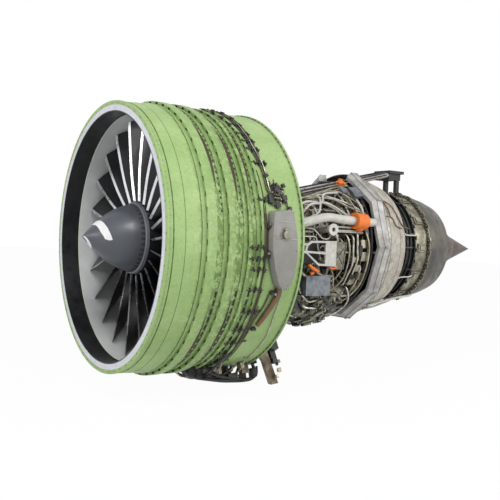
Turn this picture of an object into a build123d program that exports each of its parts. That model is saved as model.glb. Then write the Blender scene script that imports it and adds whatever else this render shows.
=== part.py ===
from build123d import *
import os
from math import cos, radians, sin, sqrt

# A two-spool turbofan engine with its nacelle off, in millimetres.
# X is the engine's axis and points aft, +Z is up, and the origin is the centre of the
# front face of the fan case. A profile is a list of (x, radius) points.

os.makedirs("parts", exist_ok=True)

# Clearances
SEAT_GAP = 0.3
RUN_GAP = 0.5
BLADE_TIP_GAP = 6.0
INNER_TIP_GAP = 3.0

# Fan
FAN_TIP_R = 1562.0
FAN_BLADE_COUNT = 22
FAN_CLOCK_DEG = -3.6
FAN_HUB_FRONT_R = 460.0
FAN_HUB_REAR_R = 590.0
FAN_HUB_FRONT_X = 402.0
FAN_HUB_REAR_X = 860.0
PLATFORM_WALL = 10.0
EDGE_GUARD_SHARE = 0.06
EDGE_GUARD_GAP = 0.8
EDGE_GUARD_FOOT_R = 482.0
DOVETAIL_NECK_W = 44.0
DOVETAIL_BASE_W = 70.0
DOVETAIL_BASE_R = 345.0
DISK_RIM_R = 398.0
DISK_FRONT_X = 430.0
DISK_REAR_X = 840.0
DISK_BORE_R = 150.0

# Spinner
SPINNER_TIP_X = -303.0
SPINNER_BASE_X = 355.0
SPINNER_BASE_R = 440.0
SPINNER_WALL = 7.0
SPINNER_NOSE_SLOPE = 1.72

# Fan case
CASE_BORE_R = 1660.0
CASE_SPLIT_X = 1237.0
CASE_LENGTH = 1830.0
CASE_FRONT_FLANGE_R = 1712.0
CASE_REAR_SKIN_R = 1728.0
CASE_REAR_FLANGE_R = 1748.0
CASE_REAR_FLANGE_T = 26.0
CASE_BOLT_COUNT = 36
MOUTH_RING_BORE_R = 1590.0
MOUTH_RING_T = 16.0
MOUTH_HOLE_COUNT = 60
MOUTH_HOLE_R = 6.5
LINER_MOUTH_R = 1577.0
LINER_REAR_X = 247.0
SHROUD_REAR_X = 900.0

# Stiffener rings of Z section around the fan case: foot start, foot radius, crown radius,
# crown end
STIFFENERS = [
    (420.0, 1722.0, 1765.0, 590.0),
    (700.0, 1716.0, 1762.0, 868.0),
    (975.0, 1708.0, 1746.0, 1072.0),
    (1150.0, 1708.0, 1752.0, 1232.0),
]
STIFFENER_T = 7.0
STIFFENER_FOOT = 60.0
STIFFENER_LIP = 6.0
STIFFENER_HOLE_COUNT = 60
STIFFENER_WINDOW_W = 64.0

# Guide vanes and frame behind the fan
GUIDE_VANE_COUNT = 34
GUIDE_FRONT_X = 1250.0
FRAME_FRONT_X = 1650.0
FRAME_REAR_X = 2200.0
FRAME_STRUT_COUNT = 10
FRAME_RIM_R = 1175.0
FRAME_SKIN = 14.0

# Air path of the booster, as (x, radius)
SPLITTER_X = 1010.0
SPLITTER_R = 775.0
BOOSTER_HUB = [(862.0, 588.0), (905.0, 600.0), (1100.0, 585.0), (1500.0, 520.0), (1560.0, 505.0)]
BOOSTER_TIP = [(1012.0, 768.0), (1400.0, 700.0), (1650.0, 640.0)]
BOOSTER_STAGES_X = [1090.0, 1270.0, 1450.0]
BOOSTER_BLADE_COUNT = 20
DRUM_WALL = 12.0

# Blades with a longer chord than this get smooth sides
LENS_CHORD_LIMIT = 100.0

# High-pressure compressor
COMPRESSOR_REAR_X = 3060.0
COMPRESSOR_HUB = [(2400.0, 262.0), (3050.0, 302.0)]
COMPRESSOR_TIP = [(2200.0, 402.0), (2400.0, 376.0), (3060.0, 334.0)]
COMPRESSOR_FIRST_X = 2440.0
COMPRESSOR_PITCH = 96.0
COMPRESSOR_STAGES = 6
COMPRESSOR_BLADE_COUNT = 18
COMPRESSOR_CASE_WALL = 22.0

# Combustor and high-pressure turbine
COMBUSTOR_CASE_R = 540.0
COMBUSTOR_REAR_X = 3500.0
FUEL_NOZZLE_COUNT = 24
HP_TURBINE_HUB_R = 330.0
HP_TURBINE_TIP_R = 424.0
HP_TURBINE_REAR_X = 3740.0
HP_VANE_COUNT = 18
HP_BLADE_COUNT = 20

# Low-pressure turbine
LP_TURBINE_HUB = [(3760.0, 520.0), (4690.0, 500.0)]
LP_TURBINE_TIP = [(3740.0, 600.0), (4000.0, 700.0), (4690.0, 812.0)]
LP_TURBINE_FIRST_X = 3885.0
LP_TURBINE_PITCH = 156.0
LP_TURBINE_STAGES = 5
LP_TURBINE_BLADE_COUNT = 26
LP_TURBINE_CASE_WALL = 16.0
LP_TURBINE_REAR_X = 4690.0

# Silver air manifold, cowl and cooling tubes round the turbine
MANIFOLD_X = 3800.0
MANIFOLD_FRONT_X = MANIFOLD_X - 95
MANIFOLD_R = 1040.0
MANIFOLD_TUBE_R = 62.0
MANIFOLD_SIDES = 10
COWL_FRONT_X = 3880.0
COWL_REAR_X = 4350.0
COWL_FRONT_R = 1100.0
COWL_REAR_R = 985.0
COWL_WALL = 8.0
COOLING_TUBE_R = 14.0

# Rear frame, sleeve and plug
REAR_FRAME_END_X = 5000.0
REAR_FRAME_R = 838.0
REAR_FRAME_FLANGE_R = 880.0
REAR_FRAME_HUB_R = 500.0
REAR_STRUT_COUNT = 12
SLEEVE_END_X = 5560.0
SLEEVE_END_R = 745.0
SLEEVE_WALL = 8.0
PLUG_TIP_X = 6977.0
PLUG_WALL = 6.0

# Shafts and bearings
LP_SHAFT_R = 85.0
LP_SHAFT_BORE_R = 60.0
HP_SHAFT_BORE_R = 110.0
HP_SHAFT_R = 135.0
BEARING_WIDTH = 60.0
BEARING_RING_T = 18.0
ROLLER_D = 30.0
BEARING_STACK = 2 * BEARING_RING_T + ROLLER_D + RUN_GAP + SEAT_GAP
ROLLER_COUNT = 18
FRONT_JOURNAL_X = 1100.0
FRONT_JOURNAL_R = 160.0
HP_FRONT_JOURNAL_X = 2330.0
HP_REAR_JOURNAL_X = 3775.0
REAR_JOURNAL_X = 4800.0

# Equipment
OIL_TANK_DEPTH = 125.0
OIL_TANK_X = 1460.0
OIL_TANK_OUTLINE = [(1318.0, 360.0), (1345.0, 388.0), (1560.0, 412.0), (1600.0, 392.0), (1640.0, 80.0),
                    (1652.0, -150.0), (1640.0, -360.0), (1602.0, -490.0), (1560.0, -522.0), (1500.0, -522.0),
                    (1440.0, -470.0), (1350.0, -290.0), (1290.0, -60.0), (1288.0, 120.0)]
CAP_R = 46.0
CAP_T = 22.0
UNISON_X = [2452.0, 2548.0, 2644.0, 2740.0]
UNISON_RING_T = 14.0
UNISON_STANDOFF = 30.0
UNISON_RING_W = 22.0
UNISON_SWING_DEG = 9.0
GEARBOX_R = 790.0
GEARBOX_DEPTH = 230.0
GEARBOX_FRONT_X = 2700.0
GEARBOX_WIDTH = 190.0
GEARBOX_SPAN_DEG = (48.0, 82.0, 118.0)
TRANSFER_SHAFT_RING_R = 880.0
DRIVE_SHAFT_R = 26.0
BLEED_DUCT_R = 60.0
AIR_PORT_R = 30.0
THRUST_LINK_R = 36.0

# The white frame on the core's side and its two windows, as (x, z)
EQUIPMENT_OUTLINE = [(2890.0, 62.0), (2450.0, 55.0), (2372.0, 0.0), (2350.0, -95.0), (2585.0, -275.0),
                     (2890.0, -285.0)]
EQUIPMENT_WINDOWS = [
    [(2700.0, 32.0), (2462.0, 27.0), (2397.0, -15.0), (2380.0, -78.0), (2700.0, -95.0)],
    [(2700.0, -122.0), (2395.0, -108.0), (2592.0, -248.0), (2700.0, -250.0)],
]

AFT_MOUNT_X = 4750.0
AFT_MOUNT_TOP_Z = 1225.0
FRONT_MOUNT_X = 2010.0
FRONT_MOUNT_TOP_Z = 1300.0
MOUNT_BOLT_R = 16.0
HARNESS_TUBE_R = 7.0
HARNESS_STAND = 12.0
HARNESS_RUNS = [(1275.0, -165.0, 148.0), (1305.0, -165.0, 140.0), (1330.0, 22.0, 120.0),
                (1358.0, 22.0, 120.0)]
HARNESS_CLAMP_DEG = [-44.0, -36.5, -27.5, -60.0, -75.0, -90.0, -105.0, 33.6, 42.5, 48.0, 60.0, 75.0, 90.0,
                     110.0]
RADIAL_SHAFT_X = 2268.0
RADIAL_SHAFT_R = 22.0

ENGINE_AXIS = Axis.X


def save(name, *solids):
    """Write one node as a STEP file of its separate solids."""
    flat = []
    for item in solids:
        flat.extend(item if isinstance(item, (list, ShapeList)) else [item])
    flat = [solid for item in flat for solid in item.solids()]
    export_step(flat[0] if len(flat) == 1 else Compound(flat), f"parts/{name}.step")


def turned(points, arc=360.0):
    """A solid of revolution about the engine axis from a closed profile."""
    outline = Polyline([(x, 0, r) for x, r in points], close=True)
    return revolve(make_face(outline), ENGINE_AXIS, arc)


def shell(points, wall):
    """A turned skin whose outer face follows the profile, with a radial wall."""
    return turned(list(points) + [(x, r - wall) for x, r in reversed(points)])


def radius_at(profile, x):
    """The radius of a profile at x, in straight lines between its points."""
    for (x0, r0), (x1, r1) in zip(profile, profile[1:]):
        if x <= x1:
            break
    return r0 + (r1 - r0) * (x - x0) / (x1 - x0)


def around(solid, count, start=0.0):
    """Copies of a solid spaced evenly about the engine axis."""
    return [solid.rotate(ENGINE_AXIS, start + 360.0 / count * i) for i in range(count)]


def on_side(solid, up_deg):
    """Swing a piece built on the -Y side up about the engine axis by an angle."""
    return solid.rotate(ENGINE_AXIS, -up_deg)


def disc(x, length, r, bore=0.0):
    """A round disc or ring lying along the engine axis."""
    return turned([(x, bore), (x, r), (x + length, r), (x + length, bore)])


def box(x, y, z):
    """A box from three (low, high) pairs."""
    size = [high - low for low, high in (x, y, z)]
    middle = [(high + low) / 2 for low, high in (x, y, z)]
    return Pos(*middle) * Box(*size)


def rod(start, end, r):
    """A round rod between two points."""
    start, end = Vector(*start), Vector(*end)
    run = end - start
    return Solid.make_cylinder(r, run.length, Plane(origin=start, z_dir=run))


def tube(points, radii, r):
    """A rigid pipe along straight runs joined by arcs."""
    if len(points) == 2:
        return rod(points[0], points[1], r)
    path = FilletPolyline(*points, radius=radii)
    start = Plane(origin=path @ 0, z_dir=path % 0)
    return sweep(start * Circle(r), path=path)


def arc_tube(x, ring_r, r, start_deg, arc_deg):
    """A pipe bent round the engine axis; angles run up from the -Y side."""
    section = Pos(x, 0, 0) * Plane.XZ * Pos(0, ring_r) * Circle(r)
    bent = revolve(section, ENGINE_AXIS, -arc_deg)
    return on_side(bent.rotate(ENGINE_AXIS, 90), start_deg)


def lens_blade(x, chord, thickness, camber, stagger_deg, r_low, r_high):
    """A straight blade of lens section standing along +Z, its chord turned off the axis."""
    half = chord / 2
    edges = [
        ThreePointArc((-half, 0), (0, camber + thickness / 2), (half, 0)),
        ThreePointArc((half, 0), (0, camber - thickness / 2), (-half, 0)),
    ]
    section = make_face(edges).rotate(Axis.Z, stagger_deg)
    return extrude(Pos(x, 0, r_low) * section, r_high - r_low)


def facet_blade(x, chord, thickness, camber, stagger_deg, r_low, r_high):
    """A small straight blade along +Z whose two sides are bent in flat facets."""
    half, near = chord / 2, chord * 0.22
    points = [(-half, 0), (-near, camber + thickness / 2), (near, camber + thickness / 2), (half, 0),
              (near, camber - thickness / 2), (-near, camber - thickness / 2)]
    section = make_face(Polyline(points, close=True)).rotate(Axis.Z, stagger_deg)
    return extrude(Pos(x, 0, r_low) * section, r_high - r_low)


def vane_ring(x, count, chord, thickness, stagger_deg, hub, tip, wall=4.0):
    """A row of fixed vanes hung from a thin ring that seats in the case."""
    reach = chord * 0.45
    band = turned([
        (x - reach, radius_at(tip, x - reach) - SEAT_GAP),
        (x + reach, radius_at(tip, x + reach) - SEAT_GAP),
        (x + reach, radius_at(tip, x + reach) - SEAT_GAP - wall),
        (x - reach, radius_at(tip, x - reach) - SEAT_GAP - wall),
    ])
    return band + blade_row(x, count, chord, thickness, stagger_deg, hub, tip, INNER_TIP_GAP,
                            SEAT_GAP + wall / 2)


def blade_row(x, count, chord, thickness, stagger_deg, hub, tip, hub_gap, tip_gap):
    """A row of blades trimmed to the walls of the air path, each a separate solid."""
    reach = chord * 0.55
    low = radius_at(hub, x) - chord * 0.4
    high = radius_at(tip, x) + chord * 0.4
    shape = lens_blade if chord > LENS_CHORD_LIMIT else facet_blade
    blank = shape(x, chord, thickness, chord * 0.08, stagger_deg, low, high)
    room = turned([
        (x - reach, radius_at(hub, x - reach) + hub_gap),
        (x + reach, radius_at(hub, x + reach) + hub_gap),
        (x + reach, radius_at(tip, x + reach) - tip_gap),
        (x - reach, radius_at(tip, x - reach) - tip_gap),
    ])
    return around(blank & room, count)


# Fan blades
# Each row is radius, chord, stagger, camber, thickness and the x of mid chord.
FAN_SECTIONS = [
    (DISK_RIM_R + 2, 440.0, 4.0, 6.0, DOVETAIL_NECK_W, 625.0),
    (520.0, 445.0, 12.0, 30.0, 42.0, 625.0),
    (760.0, 470.0, 24.0, 34.0, 28.0, 612.0),
    (1060.0, 500.0, 36.0, 26.0, 18.0, 598.0),
    (1340.0, 525.0, 44.5, 16.0, 12.0, 584.0),
    (FAN_TIP_R + 22, 520.0, 49.5, 10.0, 8.0, 572.0),
]


def airfoil_point(section, share, side, spare=0.0):
    """A point of a fan airfoil: share runs from the front edge to the rear edge, and the
    side is 1 on the rounded back of the blade and -1 on its hollow face."""
    radius, chord, stagger_deg, camber, thickness, mid_x = section
    along = (share - 0.5) * (chord + 2 * spare)
    inside = min(max(share, 0.0), 1.0)
    bow = 4 * camber * inside * (1 - inside)
    depth = thickness * (4 * inside * (1 - inside)) ** 0.6 + 4.0 * inside + 2 * spare
    off = bow + side * depth / 2
    turn = radians(stagger_deg)
    return (
        mid_x + along * cos(turn) - off * sin(turn),
        -along * sin(turn) - off * cos(turn),
        radius,
    )


def airfoil_wire(section, first, last, spare=0.0):
    """The outline of an airfoil between two shares of its chord."""
    steps = 7
    shares = [first + (last - first) * (i / (steps - 1)) ** 1.5 for i in range(steps)]
    back = Spline(*[airfoil_point(section, s, 1, spare) for s in shares])
    face = Spline(*[airfoil_point(section, s, -1, spare) for s in reversed(shares)])
    return Wire([back.edge(), Line(back @ 1, face @ 0).edge(), face.edge(),
                 Line(face @ 1, back @ 0).edge()])


def nose_wire(section, last):
    """The outline of the metal edge guard, wrapped round the front of the airfoil."""
    shares = [last, last * 0.5, last * 0.12]
    back = [airfoil_point(section, s, 1) for s in shares]
    face = [airfoil_point(section, s, -1) for s in reversed(shares)]
    skin = Spline(*(back + [airfoil_point(section, -0.004, 0)] + face))
    return Wire([skin.edge(), Line(skin @ 1, skin @ 0).edge()])


def dovetail(spare=0.0):
    """The root of a fan blade, or its slot in the disk when spare is given."""
    neck = DOVETAIL_NECK_W / 2 + spare
    base = DOVETAIL_BASE_W / 2 + spare
    top = DISK_RIM_R + 4
    points = [
        (-neck, top), (-neck, DISK_RIM_R - 10), (-base, DOVETAIL_BASE_R + 14),
        (-base, DOVETAIL_BASE_R - spare), (base, DOVETAIL_BASE_R - spare),
        (base, DOVETAIL_BASE_R + 14), (neck, DISK_RIM_R - 10), (neck, top),
    ]
    face = make_face(Polyline([(DISK_FRONT_X - spare, y, z) for y, z in points], close=True))
    return extrude(face, DISK_REAR_X - DISK_FRONT_X + 2 * spare, dir=(1, 0, 0))


def fan_hub_radius(x):
    share = (x - FAN_HUB_FRONT_X) / (FAN_HUB_REAR_X - FAN_HUB_FRONT_X)
    return FAN_HUB_FRONT_R + (FAN_HUB_REAR_R - FAN_HUB_FRONT_R) * share


def make_fan():
    tip_trim = disc(FAN_HUB_FRONT_X - 200, 800, FAN_TIP_R)
    gap_share = EDGE_GUARD_GAP / FAN_SECTIONS[0][1]
    airfoil = Solid.make_loft(
        [airfoil_wire(row, EDGE_GUARD_SHARE + gap_share, 1.0) for row in FAN_SECTIONS])
    blade = (airfoil + dovetail()) & tip_trim
    guard = Solid.make_loft([nose_wire(row, EDGE_GUARD_SHARE) for row in FAN_SECTIONS])
    guard = guard & disc(FAN_HUB_FRONT_X - 200, 800, FAN_TIP_R, EDGE_GUARD_FOOT_R)
    save("fan_blades", around(blade, FAN_BLADE_COUNT, FAN_CLOCK_DEG))
    save("blade_edge_guards", around(guard, FAN_BLADE_COUNT, FAN_CLOCK_DEG))

    rim = disc(DISK_FRONT_X, DISK_REAR_X - DISK_FRONT_X, DISK_RIM_R, DISK_BORE_R)
    waist = [(DISK_FRONT_X + 70, DISK_BORE_R + 40), (DISK_FRONT_X + 110, DISK_RIM_R - 110)]
    front_cut = turned([(DISK_FRONT_X, DISK_BORE_R)] + waist + [(DISK_FRONT_X, DISK_RIM_R - 98)])
    rear_cut = turned([
        (DISK_REAR_X, DISK_BORE_R), (DISK_REAR_X - 120, DISK_BORE_R + 20),
        (DISK_REAR_X - 110, DISK_RIM_R - 120), (DISK_REAR_X, DISK_RIM_R - 98),
    ])
    disk = rim - front_cut - rear_cut
    disk = disk - around(dovetail(SEAT_GAP), FAN_BLADE_COUNT, FAN_CLOCK_DEG)
    save("fan_disk", disk)

    skin = [(FAN_HUB_FRONT_X, FAN_HUB_FRONT_R), (FAN_HUB_REAR_X, FAN_HUB_REAR_R)]
    foot = DISK_RIM_R + SEAT_GAP
    rib_front, rib_rear = DISK_FRONT_X + 14, DISK_REAR_X - 14
    ring = turned(skin + [
        (FAN_HUB_REAR_X, FAN_HUB_REAR_R - PLATFORM_WALL),
        (rib_rear, fan_hub_radius(rib_rear) - PLATFORM_WALL),
        (rib_rear, foot), (rib_rear - PLATFORM_WALL, foot),
        (rib_rear - PLATFORM_WALL, fan_hub_radius(rib_rear - PLATFORM_WALL) - PLATFORM_WALL),
        (rib_front + PLATFORM_WALL, fan_hub_radius(rib_front + PLATFORM_WALL) - PLATFORM_WALL),
        (rib_front + PLATFORM_WALL, foot), (rib_front, foot),
        (rib_front, fan_hub_radius(rib_front) - PLATFORM_WALL),
        (FAN_HUB_FRONT_X, FAN_HUB_FRONT_R - PLATFORM_WALL),
    ])
    spare, over = 2.0, 0.12
    cutter = Solid.make_loft([airfoil_wire(row, -over, 1 + over, spare) for row in FAN_SECTIONS[:3]])
    cutters = around(cutter + dovetail(spare), FAN_BLADE_COUNT, FAN_CLOCK_DEG)
    save("blade_platforms", ring - cutters)


def spinner_profile(inset):
    """An ogive: its radius rises steeply at the tip and levels out towards the base."""
    shares = [0.0, 0.03, 0.1, 0.25, 0.45, 0.7, 1.0]
    tip = SPINNER_TIP_X + inset * 1.4
    length, base_r = SPINNER_BASE_X - tip, SPINNER_BASE_R - inset
    rise = [s * (SPINNER_NOSE_SLOPE + (1 - SPINNER_NOSE_SLOPE) * s) for s in shares]
    return [(tip + length * s, 0, base_r * up) for s, up in zip(shares, rise)]


def make_spinner():
    outer = Spline(*spinner_profile(0))
    inner = Spline(*spinner_profile(SPINNER_WALL))
    face = make_face([outer, Line(outer @ 1, inner @ 1), inner, Line(inner @ 0, outer @ 0)])
    save("spinner", revolve(face, ENGINE_AXIS))
    front = SPINNER_BASE_X + SEAT_GAP
    back = FAN_HUB_FRONT_X - SEAT_GAP
    save("spinner_ring", turned([
        (front, SPINNER_BASE_R - 8), (front, SPINNER_BASE_R + 12), (front + 8, SPINNER_BASE_R + 20),
        (back, FAN_HUB_FRONT_R + 4), (back, DISK_RIM_R - 68), (DISK_FRONT_X - SEAT_GAP, DISK_RIM_R - 68),
        (DISK_FRONT_X - SEAT_GAP, DISK_RIM_R - 96), (back - 12, DISK_RIM_R - 96),
        (back - 12, SPINNER_BASE_R - 8),
    ]))


def make_fan_case():
    front = turned([
        (0, CASE_BORE_R), (0, CASE_FRONT_FLANGE_R), (26, CASE_FRONT_FLANGE_R), (26, 1700), (74, 1700),
        (80, 1692), (86, 1708), (216, 1712), (221, 1706), (226, 1714), (330, 1718),
        (STIFFENERS[0][0] - 16, STIFFENERS[0][1] + 10), (STIFFENERS[0][0] - 8, STIFFENERS[0][1]),
        (STIFFENERS[0][3] + 40, STIFFENERS[1][1]), (STIFFENERS[1][3], STIFFENERS[1][1]),
        (STIFFENERS[1][3] + 40, STIFFENERS[2][1]), (CASE_SPLIT_X - 34, STIFFENERS[3][1]),
        (CASE_SPLIT_X, STIFFENERS[3][1]), (CASE_SPLIT_X, CASE_BORE_R),
    ])
    save("fan_case_front", front)
    rear = turned([
        (CASE_SPLIT_X, CASE_BORE_R), (CASE_SPLIT_X, CASE_REAR_FLANGE_R - 6),
        (CASE_SPLIT_X + 14, CASE_REAR_FLANGE_R - 6), (CASE_SPLIT_X + 18, CASE_REAR_SKIN_R),
        (CASE_LENGTH - CASE_REAR_FLANGE_T, CASE_REAR_SKIN_R),
        (CASE_LENGTH - CASE_REAR_FLANGE_T, CASE_REAR_FLANGE_R),
        (CASE_LENGTH, CASE_REAR_FLANGE_R), (CASE_LENGTH, CASE_BORE_R),
    ])
    save("fan_case_rear", rear)

    rings = []
    for foot_x, foot_r, crown_r, crown_end in STIFFENERS:
        low = foot_r + SEAT_GAP
        bend = foot_x + STIFFENER_FOOT
        lip_r = crown_r - STIFFENER_T - STIFFENER_LIP
        ring = turned([
            (foot_x, low), (foot_x, low + STIFFENER_T), (bend - STIFFENER_T, low + STIFFENER_T),
            (bend - STIFFENER_T, crown_r), (crown_end, crown_r), (crown_end, lip_r),
            (crown_end - STIFFENER_T, lip_r), (crown_end - STIFFENER_T, crown_r - STIFFENER_T),
            (bend, crown_r - STIFFENER_T), (bend, low),
        ])
        height = crown_r - low - 2 * STIFFENER_T - 4
        window = Plane(origin=(bend - 2 * STIFFENER_T, 0, (low + crown_r) / 2), x_dir=(0, 1, 0),
                       z_dir=(1, 0, 0))
        hole = extrude(window * Rectangle(STIFFENER_WINDOW_W, height), 3 * STIFFENER_T)
        rings.append(ring - around(hole, STIFFENER_HOLE_COUNT))
    save("stiffener_rings", rings)

    bolt_x = CASE_LENGTH - CASE_REAR_FLANGE_T
    seat_r = (CASE_REAR_SKIN_R + CASE_REAR_FLANGE_R) / 2
    head = extrude(Plane(origin=(bolt_x, 0, seat_r), z_dir=(-1, 0, 0)) * RegularPolygon(8.5, 6), 10)
    save("case_bolts", around(head, CASE_BOLT_COUNT))

    ring = turned([
        (0, MOUTH_RING_BORE_R), (0, CASE_BORE_R - SEAT_GAP), (MOUTH_RING_T, CASE_BORE_R - SEAT_GAP),
        (MOUTH_RING_T, MOUTH_RING_BORE_R),
    ])
    hole_circle = (MOUTH_RING_BORE_R + CASE_BORE_R) / 2
    hole = rod((-5, 0, hole_circle), (MOUTH_RING_T + 5, 0, hole_circle), MOUTH_HOLE_R)
    save("mouth_ring", ring - around(hole, MOUTH_HOLE_COUNT))

    wrap = CASE_BORE_R - SEAT_GAP
    shroud_r = FAN_TIP_R + BLADE_TIP_GAP
    save("mouth_liner", turned([
        (0, LINER_MOUTH_R), (0, MOUTH_RING_BORE_R - SEAT_GAP),
        (MOUTH_RING_T + 44, MOUTH_RING_BORE_R - SEAT_GAP),
        (MOUTH_RING_T + 44, wrap), (LINER_REAR_X, wrap), (LINER_REAR_X, LINER_MOUTH_R - 2),
    ]))
    save("fan_shroud", turned([
        (LINER_REAR_X, shroud_r), (LINER_REAR_X, wrap), (SHROUD_REAR_X, wrap), (SHROUD_REAR_X, shroud_r)]))
    front_liner = turned([
        (SHROUD_REAR_X, shroud_r), (SHROUD_REAR_X, wrap), (GUIDE_FRONT_X - SEAT_GAP, wrap),
        (GUIDE_FRONT_X - SEAT_GAP, shroud_r + 6),
    ])
    rear_liner = turned([
        (FRAME_FRONT_X + SEAT_GAP, 1592), (FRAME_FRONT_X + SEAT_GAP, wrap), (FRAME_FRONT_X + 20, wrap),
        (FRAME_FRONT_X + 20, 1592),
    ])
    vane_liner = turned(DUCT_OUTER + [(FRAME_FRONT_X, wrap), (GUIDE_FRONT_X, wrap)])
    save("duct_liners", front_liner, vane_liner, rear_liner)


DUCT_SKIN = 12.0
DUCT_INNER = [(GUIDE_FRONT_X, 822.0), (FRAME_FRONT_X, 912.0)]
DUCT_OUTER = [(GUIDE_FRONT_X, 1576.0), (FRAME_FRONT_X, 1592.0)]


def make_guide_vanes():
    mid_x = (GUIDE_FRONT_X + FRAME_FRONT_X) / 2
    vanes = blade_row(mid_x, GUIDE_VANE_COUNT, 330, 26, 14, DUCT_INNER, DUCT_OUTER, SEAT_GAP, SEAT_GAP)
    save("outlet_guide_vanes", vanes)
    save("splitter", turned([
        (SPLITTER_X - 14, SPLITTER_R - 3), (SPLITTER_X + 20, SPLITTER_R + 8), DUCT_INNER[0], DUCT_INNER[1],
        (FRAME_FRONT_X, DUCT_INNER[1][1] - DUCT_SKIN), (GUIDE_FRONT_X, DUCT_INNER[0][1] - DUCT_SKIN),
        (SPLITTER_X + 60, SPLITTER_R - 2), (1400, 712), (1650, 652), (1650, 640), (1400, 700),
        (SPLITTER_X + 2, 768),
    ]))


def make_booster():
    hub = BOOSTER_HUB
    drum = turned(hub + [
        (hub[-1][0], hub[-1][1] - DRUM_WALL), (hub[-2][0], hub[-2][1] - DRUM_WALL),
        (hub[-3][0], hub[-3][1] - DRUM_WALL), (hub[1][0], hub[1][1] - DRUM_WALL),
        (hub[0][0] + DRUM_WALL, 570), (hub[0][0] + DRUM_WALL, 305), (DISK_REAR_X + 20, 305),
        (DISK_REAR_X + 20, 340), (hub[0][0], 340),
    ])
    blades = []
    stators = []
    for x in BOOSTER_STAGES_X:
        blades += blade_row(x, BOOSTER_BLADE_COUNT, 70, 6, -32, hub, BOOSTER_TIP, -3, INNER_TIP_GAP)
        stators.append(vane_ring(x + 88, BOOSTER_BLADE_COUNT, 64, 5, 24, hub, BOOSTER_TIP))
    save("booster_rotor", drum + blades)
    return stators


FRAME_WALL = [DUCT_INNER[1], (FRAME_FRONT_X + 250, 1050.0), (FRAME_REAR_X - 90, FRAME_RIM_R - 25),
              (FRAME_REAR_X, FRAME_RIM_R)]


def make_fan_frame():
    """The hub frame: bypass wall, core duct walls, aft bulkhead and struts in one casting."""
    rim = FRAME_RIM_R
    wall = shell(FRAME_WALL, FRAME_SKIN)
    bulkhead = disc(FRAME_REAR_X - FRAME_SKIN, FRAME_SKIN, rim - 2, 408)
    core_outer = shell([(FRAME_FRONT_X, 652), (FRAME_FRONT_X + 250, 560), (FRAME_REAR_X, 414)], 12)
    core_inner = shell([(FRAME_FRONT_X, 486), (FRAME_FRONT_X + 250, 380), (FRAME_REAR_X, 262)], 12)
    seat_r = FRONT_JOURNAL_R + BEARING_STACK + SEAT_GAP
    housing = disc(FRAME_FRONT_X + 200, 20, 395, seat_r + 24)
    strut = lens_blade(FRAME_FRONT_X + 105, 150, 34, 0, 0, 432, CASE_BORE_R - 2)
    struts = around(strut, FRAME_STRUT_COUNT)
    carrier = turned([
        (FRONT_JOURNAL_X - 30, seat_r + 14), (FRONT_JOURNAL_X + 90, seat_r + 14),
        (FRAME_FRONT_X + 220, seat_r + 34), (FRAME_FRONT_X + 220, seat_r + 20),
        (FRONT_JOURNAL_X + 80, seat_r), (FRONT_JOURNAL_X - 30, seat_r),
    ])
    frame = wall + [bulkhead, core_outer, core_inner, housing, carrier] + struts
    save("fan_frame", frame)


def make_compressor(booster_stators):
    tip = COMPRESSOR_TIP
    wall = COMPRESSOR_CASE_WALL
    rear = COMPRESSOR_REAR_X
    case = turned([
        (FRAME_REAR_X, tip[0][1]), (FRAME_REAR_X, 470), (FRAME_REAR_X + 16, 470),
        (FRAME_REAR_X + 16, tip[0][1] + wall),
        (tip[1][0], tip[1][1] + wall), (rear - 16, tip[2][1] + wall), (rear - 16, 400), (rear, 400),
        (rear, tip[2][1]), (tip[1][0], tip[1][1]),
    ])
    inlet = shell([(FRAME_REAR_X, 262), (COMPRESSOR_HUB[0][0] - 26, COMPRESSOR_HUB[0][1] - 1)], 12)
    seat = disc(HP_FRONT_JOURNAL_X - 30, 60, 256, HP_SHAFT_R + BEARING_STACK + SEAT_GAP)
    fairings = around(lens_blade(RADIAL_SHAFT_X, 120, 62, 0, 0, 245, 410), 6)
    shaft_way = rod((RADIAL_SHAFT_X, 0, -200), (RADIAL_SHAFT_X, 0, -480), RADIAL_SHAFT_R + 4)
    rails = []
    for x in UNISON_X:
        rail_r = unison_bore(x) - RUN_GAP
        rails.append(disc(x + 4, UNISON_RING_W - 8, rail_r, radius_at(tip, x) + wall - 4))
    case = case + [inlet, seat] + fairings + rails - shaft_way
    save("compressor_case", case)

    drum = turned([
        (HP_FRONT_JOURNAL_X + 50, HP_SHAFT_R), (COMPRESSOR_HUB[0][0], 250), COMPRESSOR_HUB[0],
        COMPRESSOR_HUB[1],
        (COMPRESSOR_HUB[1][0], 284), (COMPRESSOR_HUB[0][0] + 14, 244), (COMPRESSOR_HUB[0][0] + 14, 236),
        (HP_FRONT_JOURNAL_X + 70, HP_SHAFT_BORE_R + 4), (HP_FRONT_JOURNAL_X - 110, HP_SHAFT_BORE_R),
        (HP_FRONT_JOURNAL_X - 110, HP_SHAFT_R),
    ])
    blades = []
    stators = []
    for i in range(COMPRESSOR_STAGES):
        x = COMPRESSOR_FIRST_X + COMPRESSOR_PITCH * i
        blades += blade_row(x, COMPRESSOR_BLADE_COUNT, 40, 4, -34, COMPRESSOR_HUB, tip, -3, INNER_TIP_GAP)
        stators.append(vane_ring(x + COMPRESSOR_PITCH / 2, COMPRESSOR_BLADE_COUNT, 36, 3.4, 26,
                                 COMPRESSOR_HUB, tip))
    save("compressor_rotor", drum + blades)
    save("compressor_stators", stators, booster_stators)


def unison_bore(x):
    """The inner radius of the ring that turns on the compressor case at x."""
    return radius_at(COMPRESSOR_TIP, x) + COMPRESSOR_CASE_WALL + UNISON_STANDOFF


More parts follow.
